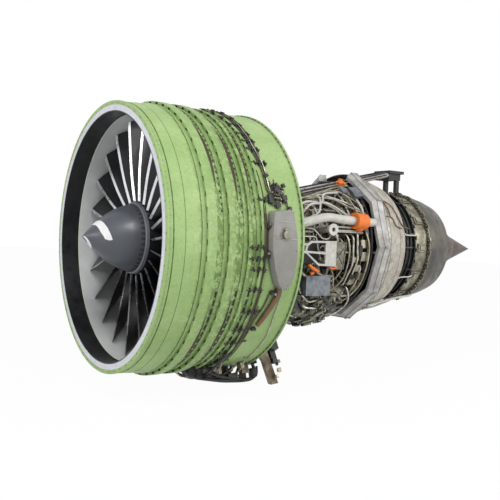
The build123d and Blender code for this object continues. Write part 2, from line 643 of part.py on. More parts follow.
def make_unison_rings():
    """Rings that turn together and swing the compressor's vane levers, tied by one link."""
    rings = [disc(x, UNISON_RING_W, unison_bore(x) + UNISON_RING_T, unison_bore(x)) for x in UNISON_X]
    link_r = unison_bore(UNISON_X[0]) + UNISON_RING_T
    link = box((UNISON_X[0], UNISON_X[-1] + UNISON_RING_W), (-link_r - 14, -link_r + 26), (-18, 18))
    low_x, high_x = UNISON_X[0] - 5, UNISON_X[-1] + 30
    floor = turned([(low_x, 0), (low_x, unison_bore(low_x) + 2), (high_x, unison_bore(high_x) + 2),
                    (high_x, 0)])
    link = link - floor
    pin_x = UNISON_X[0] + UNISON_RING_W / 2
    pin = rod((pin_x, -link_r - 44, 0), (pin_x, -link_r - 6, 0), 8)
    save("unison_rings", rings[0] + rings[1:] + [link, pin])


def make_hot_section(feed_tubes):
    rear = COMPRESSOR_REAR_X
    case = turned([
        (rear, 340), (rear, 400), (rear + 16, 400), (rear + 16, 372), (rear + 120, COMBUSTOR_CASE_R - 30),
        (rear + 200, COMBUSTOR_CASE_R), (COMBUSTOR_REAR_X - 16, COMBUSTOR_CASE_R),
        (COMBUSTOR_REAR_X - 16, COMBUSTOR_CASE_R + 36),
        (COMBUSTOR_REAR_X, COMBUSTOR_CASE_R + 36), (COMBUSTOR_REAR_X, COMBUSTOR_CASE_R - 14),
        (rear + 206, COMBUSTOR_CASE_R - 14), (rear + 126, COMBUSTOR_CASE_R - 44), (rear + 30, 340),
    ])
    nozzle_x = rear + 245
    stem_r = 14
    bore = rod((nozzle_x, 0, COMBUSTOR_CASE_R - 60), (nozzle_x, 0, COMBUSTOR_CASE_R + 40),
               stem_r + SEAT_GAP)
    save("combustor_case", case - around(bore, FUEL_NOZZLE_COUNT))
    liner_x = rear + 150
    save("combustor_liner", turned([
        (liner_x, 410), (liner_x, 470), (liner_x + 40, 492), (COMBUSTOR_REAR_X - 60, 470),
        (COMBUSTOR_REAR_X, HP_TURBINE_TIP_R + 14),
        (COMBUSTOR_REAR_X, HP_TURBINE_TIP_R + 8), (COMBUSTOR_REAR_X - 62, 463), (liner_x + 42, 485),
        (liner_x + 7, 466), (liner_x + 7, 414), (liner_x + 42, 375), (COMBUSTOR_REAR_X - 62, 350),
        (COMBUSTOR_REAR_X, HP_TURBINE_HUB_R - 8), (COMBUSTOR_REAR_X, HP_TURBINE_HUB_R - 14),
        (COMBUSTOR_REAR_X - 60, 343), (liner_x + 40, 368),
    ]))
    stem = rod((nozzle_x, 0, COMBUSTOR_CASE_R - 40), (nozzle_x, 0, COMBUSTOR_CASE_R + 56), stem_r)
    foot = box((nozzle_x - 26, nozzle_x + 26), (-20, 20),
               (COMBUSTOR_CASE_R + SEAT_GAP, COMBUSTOR_CASE_R + 12))
    manifold = Pos(nozzle_x, 0, 0) * Rot(0, 90, 0) * Torus(COMBUSTOR_CASE_R + 62, 13)
    save("fuel_manifold", manifold + around(stem + foot, FUEL_NOZZLE_COUNT), feed_tubes)

    hub = [(3500.0, HP_TURBINE_HUB_R), (3760.0, HP_TURBINE_HUB_R)]
    tip = [(3500.0, HP_TURBINE_TIP_R), (3760.0, HP_TURBINE_TIP_R)]
    end = HP_TURBINE_REAR_X
    case = turned([
        (COMBUSTOR_REAR_X, HP_TURBINE_TIP_R), (COMBUSTOR_REAR_X, COMBUSTOR_CASE_R + 36),
        (COMBUSTOR_REAR_X + 16, COMBUSTOR_CASE_R + 36),
        (COMBUSTOR_REAR_X + 16, COMBUSTOR_CASE_R), (end - 16, 620), (end - 16, 660), (end, 660), (end, 602),
        (end - 60, 560), (COMBUSTOR_REAR_X + 40, HP_TURBINE_TIP_R + 30), (end - 30, HP_TURBINE_TIP_R + 16),
        (end - 30, HP_TURBINE_TIP_R),
    ])
    save("high_pressure_turbine_case", case)
    stators = [vane_ring(x, HP_VANE_COUNT, 44, 9, 38, hub, tip) for x in (3530.0, 3644.0)]
    drum = turned([
        (3562, HP_TURBINE_HUB_R), (3616, HP_TURBINE_HUB_R), (3616, 300), (3676, 300),
        (3676, HP_TURBINE_HUB_R),
        (3726, HP_TURBINE_HUB_R), (3726, 300), (3712, 200), (3712, HP_SHAFT_R),
        (HP_REAR_JOURNAL_X + 40, HP_SHAFT_R),
        (HP_REAR_JOURNAL_X + 40, HP_SHAFT_BORE_R), (3060, HP_SHAFT_BORE_R + 60), (3050, 284), (3050, 302),
        (3080, 302),
        (3100, HP_SHAFT_BORE_R + 84), (3560, HP_SHAFT_R + 6), (3574, 200),
    ])
    blades = []
    for x in (3588.0, 3702.0):
        blades += blade_row(x, HP_BLADE_COUNT, 38, 9, -40, hub, tip, -3, INNER_TIP_GAP)
    save("high_pressure_turbine_rotor", drum + blades)
    return stators


def make_lp_turbine(stators):
    tip = LP_TURBINE_TIP
    wall = LP_TURBINE_CASE_WALL
    end = LP_TURBINE_REAR_X
    start = HP_TURBINE_REAR_X
    case = turned([
        (start, tip[0][1]), (start, 660), (start + 16, 660), (start + 16, tip[0][1] + 26),
        (tip[1][0], tip[1][1] + wall),
        (end - 18, radius_at(tip, end - 18) + wall), (end - 18, REAR_FRAME_FLANGE_R - 14),
        (end, REAR_FRAME_FLANGE_R - 14),
        (end, tip[2][1]), (tip[1][0], tip[1][1]),
    ])
    seat_r = HP_SHAFT_R + BEARING_STACK + SEAT_GAP
    middle = HP_REAR_JOURNAL_X
    hub_ring = turned([
        (middle - 24, 340), (middle + 36, 340), (middle + 36, 326), (middle + 8, 326),
        (middle + 8, seat_r + 14),
        (middle + 30, seat_r + 14), (middle + 30, seat_r), (middle - 30, seat_r),
        (middle - 30, seat_r + 14),
        (middle - 6, seat_r + 14), (middle - 6, 326), (middle - 24, 326),
    ])
    struts = around(lens_blade(middle + 6, 56, 22, 0, 0, 334, radius_at(tip, middle) + 8), 8)
    save("lp_turbine_case", case + hub_ring + struts)
    hub = LP_TURBINE_HUB
    drum_wall = 12
    drum = turned([
        (hub[0][0] + 80, radius_at(hub, hub[0][0] + 80)), (end - 10, hub[1][1]),
        (end - 10, hub[1][1] - drum_wall),
        (4300, hub[1][1] - drum_wall), (4300, 300), (4330, 160), (4330, LP_SHAFT_R + SEAT_GAP),
        (4260, LP_SHAFT_R + SEAT_GAP),
        (4260, 160), (4284, 300), (4284, hub[1][1] - drum_wall),
        (hub[0][0] + 80, hub[0][1] - drum_wall - 2),
    ])
    blades = []
    for i in range(LP_TURBINE_STAGES):
        x = LP_TURBINE_FIRST_X + LP_TURBINE_PITCH * i
        stators.append(vane_ring(x, LP_TURBINE_BLADE_COUNT, 60, 8, -24, hub, tip))
        blades += blade_row(x + LP_TURBINE_PITCH / 2, LP_TURBINE_BLADE_COUNT, 62, 8, 30, hub, tip, -3,
                            INNER_TIP_GAP)
    save("lp_turbine_rotor", drum + blades)
    save("turbine_stators", stators)


def thrust_link(side, spare=0.0):
    """One of the two beams that carry the thrust to the aft mount, with room round it."""
    low = FRAME_REAR_X + SEAT_GAP
    beam = rod((low, side * 330, 569), (AFT_MOUNT_X + 10, side * 110, 1150), THRUST_LINK_R + spare)
    return beam - box((low - 100, low), (-500, 500), (0, 900))


def make_turbine_dress():
    """The silver air manifold, the cowl behind it and the cooling tubes on the case."""
    step = 360.0 / MANIFOLD_SIDES
    corner = MANIFOLD_R / cos(radians(step / 2))
    half = corner * sin(radians(step / 2))
    deep, high = MANIFOLD_R - 45, MANIFOLD_R + MANIFOLD_TUBE_R
    section = Polyline((MANIFOLD_FRONT_X, 0, deep), (MANIFOLD_FRONT_X, 0, high - 55),
                       (MANIFOLD_X - 40, 0, high),
                       (MANIFOLD_X + 72, 0, high), (MANIFOLD_X + 72, 0, deep), close=True)
    run = extrude(Pos(0, -half * 1.3, 0) * make_face(section), half * 2.6, dir=(0, 1, 0))
    wedge = make_face(Polyline((0, 0, 0), (0, -half * 2, corner * 2 * cos(radians(step / 2))),
                               (0, half * 2, corner * 2 * cos(radians(step / 2))), close=True))
    wedge = extrude(Pos(MANIFOLD_X - 200, 0, 0) * wedge, 400, dir=(1, 0, 0))
    side = run & wedge
    sides = around(side, MANIFOLD_SIDES)[1:]
    ring = sides[0] + sides[1:]
    post = rod((MANIFOLD_X, 0, 655), (MANIFOLD_X, 0, MANIFOLD_R - 10), 18)
    posts = around(post, 6, step)
    save("air_manifold", ring + posts)

    cowl = [(COWL_FRONT_X, COWL_FRONT_R), (COWL_FRONT_X + 60, COWL_FRONT_R - 2),
            (COWL_REAR_X - 30, COWL_REAR_R + 4), (COWL_REAR_X, COWL_REAR_R - 12)]
    inner = [(x, r - COWL_WALL) for x, r in reversed(cowl)]
    case_r = radius_at(LP_TURBINE_TIP, COWL_REAR_X) + LP_TURBINE_CASE_WALL + SEAT_GAP
    skin = turned(cowl + [
        (COWL_REAR_X, case_r), (COWL_REAR_X - COWL_WALL, case_r),
        (COWL_REAR_X - COWL_WALL, inner[0][1])] + inner[1:])
    save("turbine_cowl", skin - [thrust_link(side, 20) for side in (-1, 1)])

    tubes = []
    stand = LP_TURBINE_CASE_WALL + COOLING_TUBE_R + SEAT_GAP
    for x in (4410.0, 4480.0, 4550.0, 4620.0):
        seat = radius_at(LP_TURBINE_TIP, x) + stand
        turns = [radians(36 * k - 90) for k in range(10)]
        tubes.append(turned([(x + COOLING_TUBE_R * cos(t), seat + COOLING_TUBE_R * sin(t)) for t in turns]))
    ends = [(x, -(radius_at(LP_TURBINE_TIP, x) + stand + 8), 0) for x in (4396, 4640)]
    feed = rod(ends[0], ends[1], COOLING_TUBE_R + 2)
    save("cooling_tubes", tubes[0] + tubes[1:] + feed)


def make_exhaust():
    start = LP_TURBINE_REAR_X
    end = REAR_FRAME_END_X
    outer = turned([
        (start, REAR_FRAME_FLANGE_R - 70), (start, REAR_FRAME_FLANGE_R - 14),
        (start + 18, REAR_FRAME_FLANGE_R - 14),
        (start + 18, REAR_FRAME_R), (end - 18, REAR_FRAME_R), (end - 18, REAR_FRAME_FLANGE_R),
        (end, REAR_FRAME_FLANGE_R),
        (end, REAR_FRAME_FLANGE_R - 62), (end - 40, REAR_FRAME_R - 14),
    ])
    hub = disc(start + 20, end - start - 20, REAR_FRAME_HUB_R, REAR_FRAME_HUB_R - 16)
    seat_r = LP_SHAFT_R + BEARING_STACK + SEAT_GAP
    cone = turned([
        (REAR_JOURNAL_X - 30, seat_r), (REAR_JOURNAL_X + 30, seat_r), (end - 40, REAR_FRAME_HUB_R - 4),
        (end - 60, REAR_FRAME_HUB_R - 4), (REAR_JOURNAL_X + 14, seat_r + 18),
        (REAR_JOURNAL_X - 30, seat_r + 18),
    ])
    strut = lens_blade((start + end) / 2, 190, 34, 0, 0, REAR_FRAME_HUB_R - 8, REAR_FRAME_R - 6)
    save("turbine_rear_frame", outer + [hub, cone] + around(strut, REAR_STRUT_COUNT))

    sleeve = [(end, REAR_FRAME_FLANGE_R - 4), (end + 14, REAR_FRAME_FLANGE_R - 4),
              (end + 18, REAR_FRAME_R + 14),
              (end + 160, REAR_FRAME_R + 8), (end + 380, REAR_FRAME_R - 38), (SLEEVE_END_X, SLEEVE_END_R)]
    inner = [(end, REAR_FRAME_R - 14)] + [(x, r - SLEEVE_WALL) for x, r in sleeve[3:]]
    save("exhaust_sleeve", turned(sleeve + inner[::-1]))

    front_r = REAR_FRAME_HUB_R
    crown = Spline((end, 0, front_r), (end + 240, 0, front_r + 12), (end + 560, 0, front_r - 8),
                   (PLUG_TIP_X - 600, 0, 208), tangents=[(1, 0, 0.12), (1, 0, -0.345)])
    nose = Line(crown @ 1, (PLUG_TIP_X, 0, 0))
    inner_x = PLUG_TIP_X - 60
    inside = Spline((PLUG_TIP_X - 620, 0, 190), (end + 560, 0, front_r - 8 - PLUG_WALL),
                    (end + 240, 0, front_r + 12 - PLUG_WALL), (end, 0, front_r - PLUG_WALL))
    face = make_face([crown, nose, Line(nose @ 1, (inner_x, 0, 0)), Line((inner_x, 0, 0), inside @ 0),
                      inside,
                      Line(inside @ 1, crown @ 0)])
    save("exhaust_plug", revolve(face, ENGINE_AXIS))


def make_shafts():
    flange = DISK_REAR_X
    journal = FRONT_JOURNAL_R
    save("lp_shaft", turned([
        (flange, 340), (flange + 20, 340), (flange + 20, 300), (FRONT_JOURNAL_X - 60, journal + 20),
        (FRONT_JOURNAL_X - 40, journal), (FRONT_JOURNAL_X + 80, journal),
        (FRONT_JOURNAL_X + 160, LP_SHAFT_R),
        (REAR_JOURNAL_X + 60, LP_SHAFT_R), (REAR_JOURNAL_X + 60, LP_SHAFT_BORE_R),
        (FRONT_JOURNAL_X + 140, LP_SHAFT_BORE_R),
        (FRONT_JOURNAL_X + 70, journal - 26), (FRONT_JOURNAL_X - 60, journal - 26), (flange, 272),
    ]))


def make_bearings():
    """Roller bearings: inner rings and rollers go with their shaft, outer rings with the frames."""
    half = BEARING_WIDTH / 2
    journals = [("lp", FRONT_JOURNAL_X, FRONT_JOURNAL_R), ("lp", REAR_JOURNAL_X, LP_SHAFT_R),
                ("hp", HP_FRONT_JOURNAL_X, HP_SHAFT_R), ("hp", HP_REAR_JOURNAL_X, HP_SHAFT_R)]
    inner = {"lp": [], "hp": []}
    outer = []
    for spool, x, shaft_r in journals:
        ring_r = shaft_r + BEARING_RING_T
        inner[spool].append(disc(x - half, BEARING_WIDTH, ring_r, shaft_r + SEAT_GAP))
        pitch_r = ring_r + SEAT_GAP + ROLLER_D / 2
        roller = rod((x - half + 6, 0, pitch_r), (x + half - 6, 0, pitch_r), ROLLER_D / 2)
        inner[spool] += around(roller, ROLLER_COUNT)
        bore = pitch_r + ROLLER_D / 2 + RUN_GAP
        outer.append(disc(x - half, BEARING_WIDTH, bore + BEARING_RING_T, bore))
    save("lp_bearing_rollers", inner["lp"])
    save("high_pressure_bearing_rollers", inner["hp"])
    save("bearing_outer_rings", outer)


def make_gearbox():
    """The accessory gearbox under the core with its units, and the shaft that drives it."""
    ring = disc(GEARBOX_FRONT_X, GEARBOX_WIDTH, GEARBOX_R + GEARBOX_DEPTH, GEARBOX_R)
    reach = 2 * (GEARBOX_R + GEARBOX_DEPTH)
    corners = [(reach * -cos(radians(a)), reach * -sin(radians(a))) for a in GEARBOX_SPAN_DEG]
    sector = make_face(Polyline([(GEARBOX_FRONT_X - 10, y, z) for y, z in [(0, 0)] + corners],
                                close=True))
    housing = ring & extrude(sector, GEARBOX_WIDTH + 20, dir=(1, 0, 0))
    lug_x = GEARBOX_FRONT_X + GEARBOX_WIDTH / 2
    lug_r = 24
    case_r = radius_at(COMPRESSOR_TIP, lug_x - lug_r) + COMPRESSOR_CASE_WALL + SEAT_GAP
    lug = rod((lug_x, -case_r, 0), (lug_x, -GEARBOX_R - 20, 0), lug_r)
    lugs = [on_side(lug, -a) for a in (58, 82, 108)]
    save("accessory_gearbox", housing + lugs)

    rear = GEARBOX_FRONT_X + GEARBOX_WIDTH + SEAT_GAP
    front = GEARBOX_FRONT_X - SEAT_GAP

    def unit(low_x, high_x, ring_r, down_deg, r, flange_at):
        body = rod((low_x, -ring_r, 0), (high_x, -ring_r, 0), r)
        waist_x = flange_at if flange_at == low_x else flange_at - 24
        flange = rod((waist_x, -ring_r, 0), (waist_x + 24, -ring_r, 0), r * 1.16)
        return on_side(body + flange, -down_deg)

    save("generator", unit(rear, rear + 440, 985, 84, 195, rear))
    save("fuel_pump", unit(rear, rear + 300, 920, 56, 118, rear))
    save("starter", unit(front - 290, front, 900, 66, 100, front))
    cooler = box((front - 230, rear), (-1010, -730), (-690, -420))
    foot = on_side(box((front + 20, rear - 30), (-980, -900), (SEAT_GAP, 130)), -GEARBOX_SPAN_DEG[0])
    save("oil_cooler", cooler + foot)
    drive_r = TRANSFER_SHAFT_RING_R
    box_x = (FRAME_REAR_X + SEAT_GAP, RADIAL_SHAFT_X + 90)
    transfer = box(box_x, (-95, 95), (-drive_r - 90, -drive_r + 95))
    shaft_well = rod((RADIAL_SHAFT_X, 0, -drive_r + 30), (RADIAL_SHAFT_X, 0, -drive_r + 200),
                     RADIAL_SHAFT_R + RUN_GAP)
    drive_well = rod((RADIAL_SHAFT_X + 50, 0, -drive_r), (RADIAL_SHAFT_X + 200, 0, -drive_r),
                     DRIVE_SHAFT_R + RUN_GAP)
    save("transfer_gearbox", transfer - shaft_well - drive_well)
    shaft = rod((RADIAL_SHAFT_X, 0, -HP_SHAFT_R - 70), (RADIAL_SHAFT_X, 0, -drive_r + 34), RADIAL_SHAFT_R)
    save("radial_drive_shaft", shaft)
    save("gearbox_drive_shaft", rod((RADIAL_SHAFT_X + 56, 0, -drive_r), (front, 0, -drive_r),
                                    DRIVE_SHAFT_R))


def make_core_equipment():
    frame_x = FRAME_REAR_X + SEAT_GAP

    def slab(outline, low_y, high_y):
        flat = make_face(Polyline([(x, high_y, z) for x, z in outline], close=True))
        return extrude(flat, high_y - low_y, dir=(0, -1, 0))

    plate = slab(EQUIPMENT_OUTLINE, -1110, -1085)
    windows = [slab(outline, -1200, -1000) for outline in EQUIPMENT_WINDOWS]
    arms = [box((frame_x, 2408), (-1110, -1085), (-12, 22)),
            box((frame_x, 2376), (-1110, -1085), (-112, -78))]
    feet = [box((frame_x, frame_x + 14), (-1110, -1030), (z, z + 60)) for z in (-25, -125)]
    save("equipment_frame", plate - windows + arms + feet)

    duct_r = BLEED_DUCT_R
    bends = [(frame_x, -950, 272), (2360, -950, 272), (2760, -1030, 385), (3120, -1000, 362),
             (3560, -960, 345), (MANIFOLD_FRONT_X - SEAT_GAP, -960, 345)]
    duct = tube(bends, [180, 380, 420, 420], duct_r)
    wrap = [Vector(*bends[3]) + (Vector(*bends[4]) - Vector(*bends[3])) * t for t in (0.40, 0.90)]
    sleeve = rod(tuple(wrap[0]), tuple(wrap[1]), duct_r * 1.9)
    sleeve = sleeve - rod(bends[3], bends[4], duct_r + SEAT_GAP)
    save("duct_sleeve", sleeve)

    port_x, port_z, port_y = 2870.0, 218.0, -1060.0
    low_x, high_x = port_x - 100, port_x + 100
    case_plug = turned([
        (low_x, 0), (low_x, radius_at(COMPRESSOR_TIP, low_x) + COMPRESSOR_CASE_WALL + SEAT_GAP),
        (high_x, radius_at(COMPRESSOR_TIP, high_x) + COMPRESSOR_CASE_WALL + SEAT_GAP), (high_x, 0),
    ])
    port = rod((port_x, -200, port_z), (port_x, port_y, port_z), AIR_PORT_R + 16)
    port = port + rod((port_x, port_y + 24, port_z), (port_x, port_y, port_z), AIR_PORT_R + 52)
    port = port - rod((port_x, port_y + 60, port_z), (port_x, port_y - 40, port_z),
                      AIR_PORT_R) - case_plug
    save("bleed_duct", duct, port)

    case_r = COMBUSTOR_CASE_R + SEAT_GAP

    def loop(x, low_deg, high_deg, ring_r, r):
        spots = [(case_r, high_deg), (ring_r, high_deg), (ring_r * 1.03, (low_deg + high_deg) / 2),
                 (ring_r, low_deg), (case_r, low_deg)]
        points = [(x, -radius * cos(radians(a)), radius * sin(radians(a))) for radius, a in spots]
        return tube(points, [80, 260, 80], r)

    return [loop(3365, -41, 11, 930, 17), loop(3425, -38, 14, 950, 17)]


def make_mounts():
    save("thrust_links", [thrust_link(side) for side in (-1, 1)])

    top = AFT_MOUNT_TOP_Z
    frame_r = REAR_FRAME_FLANGE_R + SEAT_GAP
    beam = box((AFT_MOUNT_X, AFT_MOUNT_X + 320), (-180, 180), (top - 45, top))
    block = box((AFT_MOUNT_X + 10, AFT_MOUNT_X + 270), (-150, 150), (top - 150, top - 40))
    legs = [box((REAR_FRAME_END_X - 70, REAR_FRAME_END_X - 2), (y, y + 60), (700, top - 100))
            for y in (-150, 90)]
    holes = [rod((AFT_MOUNT_X + x, y, top - 80), (AFT_MOUNT_X + x, y, top + 20), MOUNT_BOLT_R)
             for x in (60, 260) for y in (-130, 130)]
    mount = beam + [block] + legs - disc(AFT_MOUNT_X - 100, 800, frame_r) - holes
    save("aft_mount", mount - [thrust_link(side, SEAT_GAP + 1) for side in (-1, 1)])

    low_x, high_x = FRONT_MOUNT_X, FRAME_REAR_X - FRAME_SKIN - 4
    seat = [(x, radius_at(FRAME_WALL, x) + SEAT_GAP) for x in (low_x - 20, FRAME_WALL[2][0], high_x + 20)]
    seat = turned([(seat[0][0], 0)] + seat + [(seat[-1][0], 0)])
    front = box((low_x, high_x), (-280, 280), (1000, FRONT_MOUNT_TOP_Z)) - seat
    holes = [rod((low_x + x, y, FRONT_MOUNT_TOP_Z - 60), (low_x + x, y, FRONT_MOUNT_TOP_Z + 20),
                 MOUNT_BOLT_R)
             for x in (40, 140) for y in (-220, 220)]
    save("front_mount", front - holes)


def make_case_equipment():
    skin = CASE_REAR_SKIN_R + SEAT_GAP
    outline = Polyline(*[(x, 0, z) for x, z in OIL_TANK_OUTLINE], close=True)
    blank = extrude(make_face(outline), 500, dir=(0, -1, 0))
    blank = Pos(0, -1500, 0) * blank
    tank = blank & disc(1200, 500, skin + OIL_TANK_DEPTH, skin)
    cap_z = 120.0
    face_y = -sqrt((skin + OIL_TANK_DEPTH) ** 2 - cap_z ** 2)
    neck = rod((OIL_TANK_X, face_y + 20, cap_z), (OIL_TANK_X, face_y - 16, cap_z), CAP_R - 8)
    hinge_z = cap_z + CAP_R + 18
    hinge_y = face_y - 12
    ears = [box((OIL_TANK_X + s * 22 - 4, OIL_TANK_X + s * 22 + 4), (hinge_y - 8, face_y + 20),
                (hinge_z - 8, hinge_z + 8)) for s in (-1, 1)]
    pin = rod((OIL_TANK_X - 24, hinge_y, hinge_z), (OIL_TANK_X + 24, hinge_y, hinge_z), 4)
    save("oil_tank", tank + [neck, pin] + ears)
    lid = rod((OIL_TANK_X, face_y - 16 - SEAT_GAP, cap_z), (OIL_TANK_X, face_y - 16 - CAP_T, cap_z),
              CAP_R)
    lug = box((OIL_TANK_X - 16, OIL_TANK_X + 16), (hinge_y - 10, hinge_y + 8),
              (cap_z + CAP_R - 14, hinge_z + 8))
    lug = lug - box((OIL_TANK_X - 20, OIL_TANK_X + 20), (face_y - 16 - SEAT_GAP, face_y),
                    (cap_z, cap_z + CAP_R + 4))
    eye = rod((OIL_TANK_X - 30, hinge_y, hinge_z), (OIL_TANK_X + 30, hinge_y, hinge_z), 4 + SEAT_GAP)
    save("oil_cap", lid + lug - eye)

    tubes = []
    for x, start, arc in HARNESS_RUNS:
        tubes.append(arc_tube(x, skin + HARNESS_STAND + HARNESS_TUBE_R, HARNESS_TUBE_R, start, arc))
    save("harness_tubes", tubes)
    clamp = box((1262, 1372), (-skin - HARNESS_STAND + SEAT_GAP, -skin + 4), (-11, 11))
    clamp = clamp - disc(1200, 300, skin)
    save("harness_clamps", [on_side(clamp, a) for a in HARNESS_CLAMP_DEG])

    rear = CASE_LENGTH + SEAT_GAP
    outline = Polyline((rear, 0, -1494), (rear, 0, -1400), (1930, 0, -1420), (2130, 0, -1850),
                       (2010, 0, -1863), (1880, 0, -1560), close=True)
    save("drain_mast", Pos(0, -860, 0) * extrude(make_face(outline), 70, dir=(0, -1, 0)))
    unit = box((1400, 1740), (-300, 220), (-1880, -1600)) - disc(1200, 700, skin)
    save("service_unit", unit)


make_fan()
make_spinner()
make_fan_case()
make_guide_vanes()
booster_stators = make_booster()
make_fan_frame()
make_compressor(booster_stators)
make_unison_rings()
feed_tubes = make_core_equipment()
nozzle_vanes = make_hot_section(feed_tubes)
make_lp_turbine(nozzle_vanes)
make_turbine_dress()
make_exhaust()
make_shafts()
make_bearings()
make_gearbox()
make_mounts()
make_case_equipment()
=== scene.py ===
import math

import bpy
import numpy as np
from mathutils import Matrix, Vector


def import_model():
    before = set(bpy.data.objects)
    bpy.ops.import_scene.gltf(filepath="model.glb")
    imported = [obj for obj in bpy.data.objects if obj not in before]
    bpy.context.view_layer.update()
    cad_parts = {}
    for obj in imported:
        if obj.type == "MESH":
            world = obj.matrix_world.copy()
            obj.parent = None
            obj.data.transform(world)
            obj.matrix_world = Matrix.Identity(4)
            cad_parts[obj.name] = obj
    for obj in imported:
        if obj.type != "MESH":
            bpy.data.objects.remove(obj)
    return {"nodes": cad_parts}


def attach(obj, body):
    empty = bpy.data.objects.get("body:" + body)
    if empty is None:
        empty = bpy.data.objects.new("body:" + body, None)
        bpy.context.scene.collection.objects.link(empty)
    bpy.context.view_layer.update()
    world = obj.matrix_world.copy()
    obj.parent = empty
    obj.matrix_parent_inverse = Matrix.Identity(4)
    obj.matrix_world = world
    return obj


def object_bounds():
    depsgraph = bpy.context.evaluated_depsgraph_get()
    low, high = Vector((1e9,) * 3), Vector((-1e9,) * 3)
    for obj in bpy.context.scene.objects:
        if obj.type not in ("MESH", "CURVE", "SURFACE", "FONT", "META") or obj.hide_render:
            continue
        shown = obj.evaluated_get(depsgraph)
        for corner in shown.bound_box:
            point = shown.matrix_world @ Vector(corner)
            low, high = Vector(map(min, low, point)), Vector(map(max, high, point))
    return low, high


# A large two-spool turbofan engine with its nacelle off. X is the engine's axis and points
# aft, Z is up, and the side with the oil tank is -Y. Lengths are in metres. A corner of a
# pipe is (x, r, up), where r is its distance from the axis and up its angle in degrees,
# which runs up from the -Y side. A box is (x, r, up, size, turn).

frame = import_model()
cad_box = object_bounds()
ENGINE = "engine_static"
LOW_SPOOL = "low_pressure_spool"
chance = np.random.default_rng(7)


# Shapes worked out on grids

def grid_faces(rows, cols, close_rows=False, close_cols=False):
    """Quads of a grid: corner (i, j) joins (i+1, j), (i+1, j+1) and (i, j+1), with the last
    row or column joined to the first where the grid closes on itself."""
    i = np.arange(rows if close_rows else rows - 1)
    j = np.arange(cols if close_cols else cols - 1)
    i, j = np.meshgrid(i, j, indexing="ij")
    i2, j2 = (i + 1) % rows, (j + 1) % cols
    return np.stack([i * cols + j, i2 * cols + j, i2 * cols + j2, i * cols + j2], -1).reshape(-1, 4)


def polar(x, r, up_deg):
    """A point at radius r about the engine's axis: the angle runs up from the -Y side, so
    y is minus r times its cosine and z is r times its sine."""
    a = np.radians(up_deg)
    x, r, a = np.broadcast_arrays(np.asarray(x, float), np.asarray(r, float), a)
    return np.stack([x, -r * np.cos(a), r * np.sin(a)], -1)


def swing(verts, angles):
    """Copies of a set of points turned about the engine's axis: y and z of each copy are the
    first ones turned through the copy's angle."""
    a = np.radians(np.asarray(angles, float))[:, None]
    x, y, z = verts[:, 0], verts[:, 1], verts[:, 2]
    return np.stack([np.broadcast_to(x, (len(a), len(x))), y * np.cos(a) - z * np.sin(a),
                     y * np.sin(a) + z * np.cos(a)], -1)


def joined(parts):
    """One list of points and faces from several, with each one's face numbers moved up by
    the count of the points before it."""
    counts = np.cumsum([0] + [len(v) for v, f in parts[:-1]])
    return np.concatenate([v for v, f in parts]), np.concatenate([f + c for (v, f), c in zip(parts, counts)])


def round_about(part, angles):
    """A part repeated about the engine's axis at the given angles."""
    verts, faces = part
    turned = swing(verts, angles)
    shift = (np.arange(len(turned)) * len(verts))[:, None, None]
    return turned.reshape(-1, 3), (faces[None] + shift).reshape(-1, 4)


def piece(name, part, material, body=ENGINE, smooth=True, bevel=0.0, slot=None):
    """A mesh object of quads, riding on a body. The slot of its finish, or the given one, is looked up but
    not used.
    """
    verts, faces = part
    mesh = bpy.data.meshes.new(name)
    mesh.vertices.add(len(verts))
    mesh.vertices.foreach_set("co", np.asarray(verts, np.float32).ravel())
    mesh.loops.add(faces.size)
    mesh.loops.foreach_set("vertex_index", np.asarray(faces, np.int32).ravel())
    mesh.polygons.add(len(faces))
    mesh.polygons.foreach_set("loop_start", np.arange(0, faces.size, 4, dtype=np.int32))
    mesh.polygons.foreach_set("use_smooth", np.full(len(faces), smooth))
    mesh.update(calc_edges=True)
    mesh.materials.append(material)
    made = bpy.data.objects.new(name, mesh)
    bpy.context.scene.collection.objects.link(made)
    if smooth:
        mesh.set_sharp_from_angle(angle=math.radians(38))
    if bevel:
        soft = made.modifiers.new("soft_edges", "BEVEL")
        soft.width, soft.segments, soft.limit_method = bevel, 2, "ANGLE"
    slot = slot or SLOT_OF_FINISH[material]
    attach(made, body)
    return made


def route(points, bend):
    """The centreline of a bent pipe: each corner is swapped for a curve that starts and ends
    a bend's length along its two runs, a blend of the run's points with the weights
    (1-t) squared, 2t(1-t) and t squared."""
    p = np.asarray(points, float)
    if len(p) < 3:
        return np.linspace(p[0], p[-1], 4)
    run = np.linalg.norm(np.diff(p, axis=0), axis=1)
    back = np.minimum(bend, run[:-1] * 0.48)[:, None]
    ahead = np.minimum(bend, run[1:] * 0.48)[:, None]
    way = np.diff(p, axis=0) / run[:, None]
    a, b, c = p[1:-1] - way[:-1] * back, p[1:-1], p[1:-1] + way[1:] * ahead
    t = np.linspace(0, 1, 7)[None, :, None]
    curve = a[:, None] * (1 - t) ** 2 + 2 * b[:, None] * t * (1 - t) + c[:, None] * t ** 2
    return np.concatenate([p[:1], curve.reshape(-1, 3), p[-1:]])


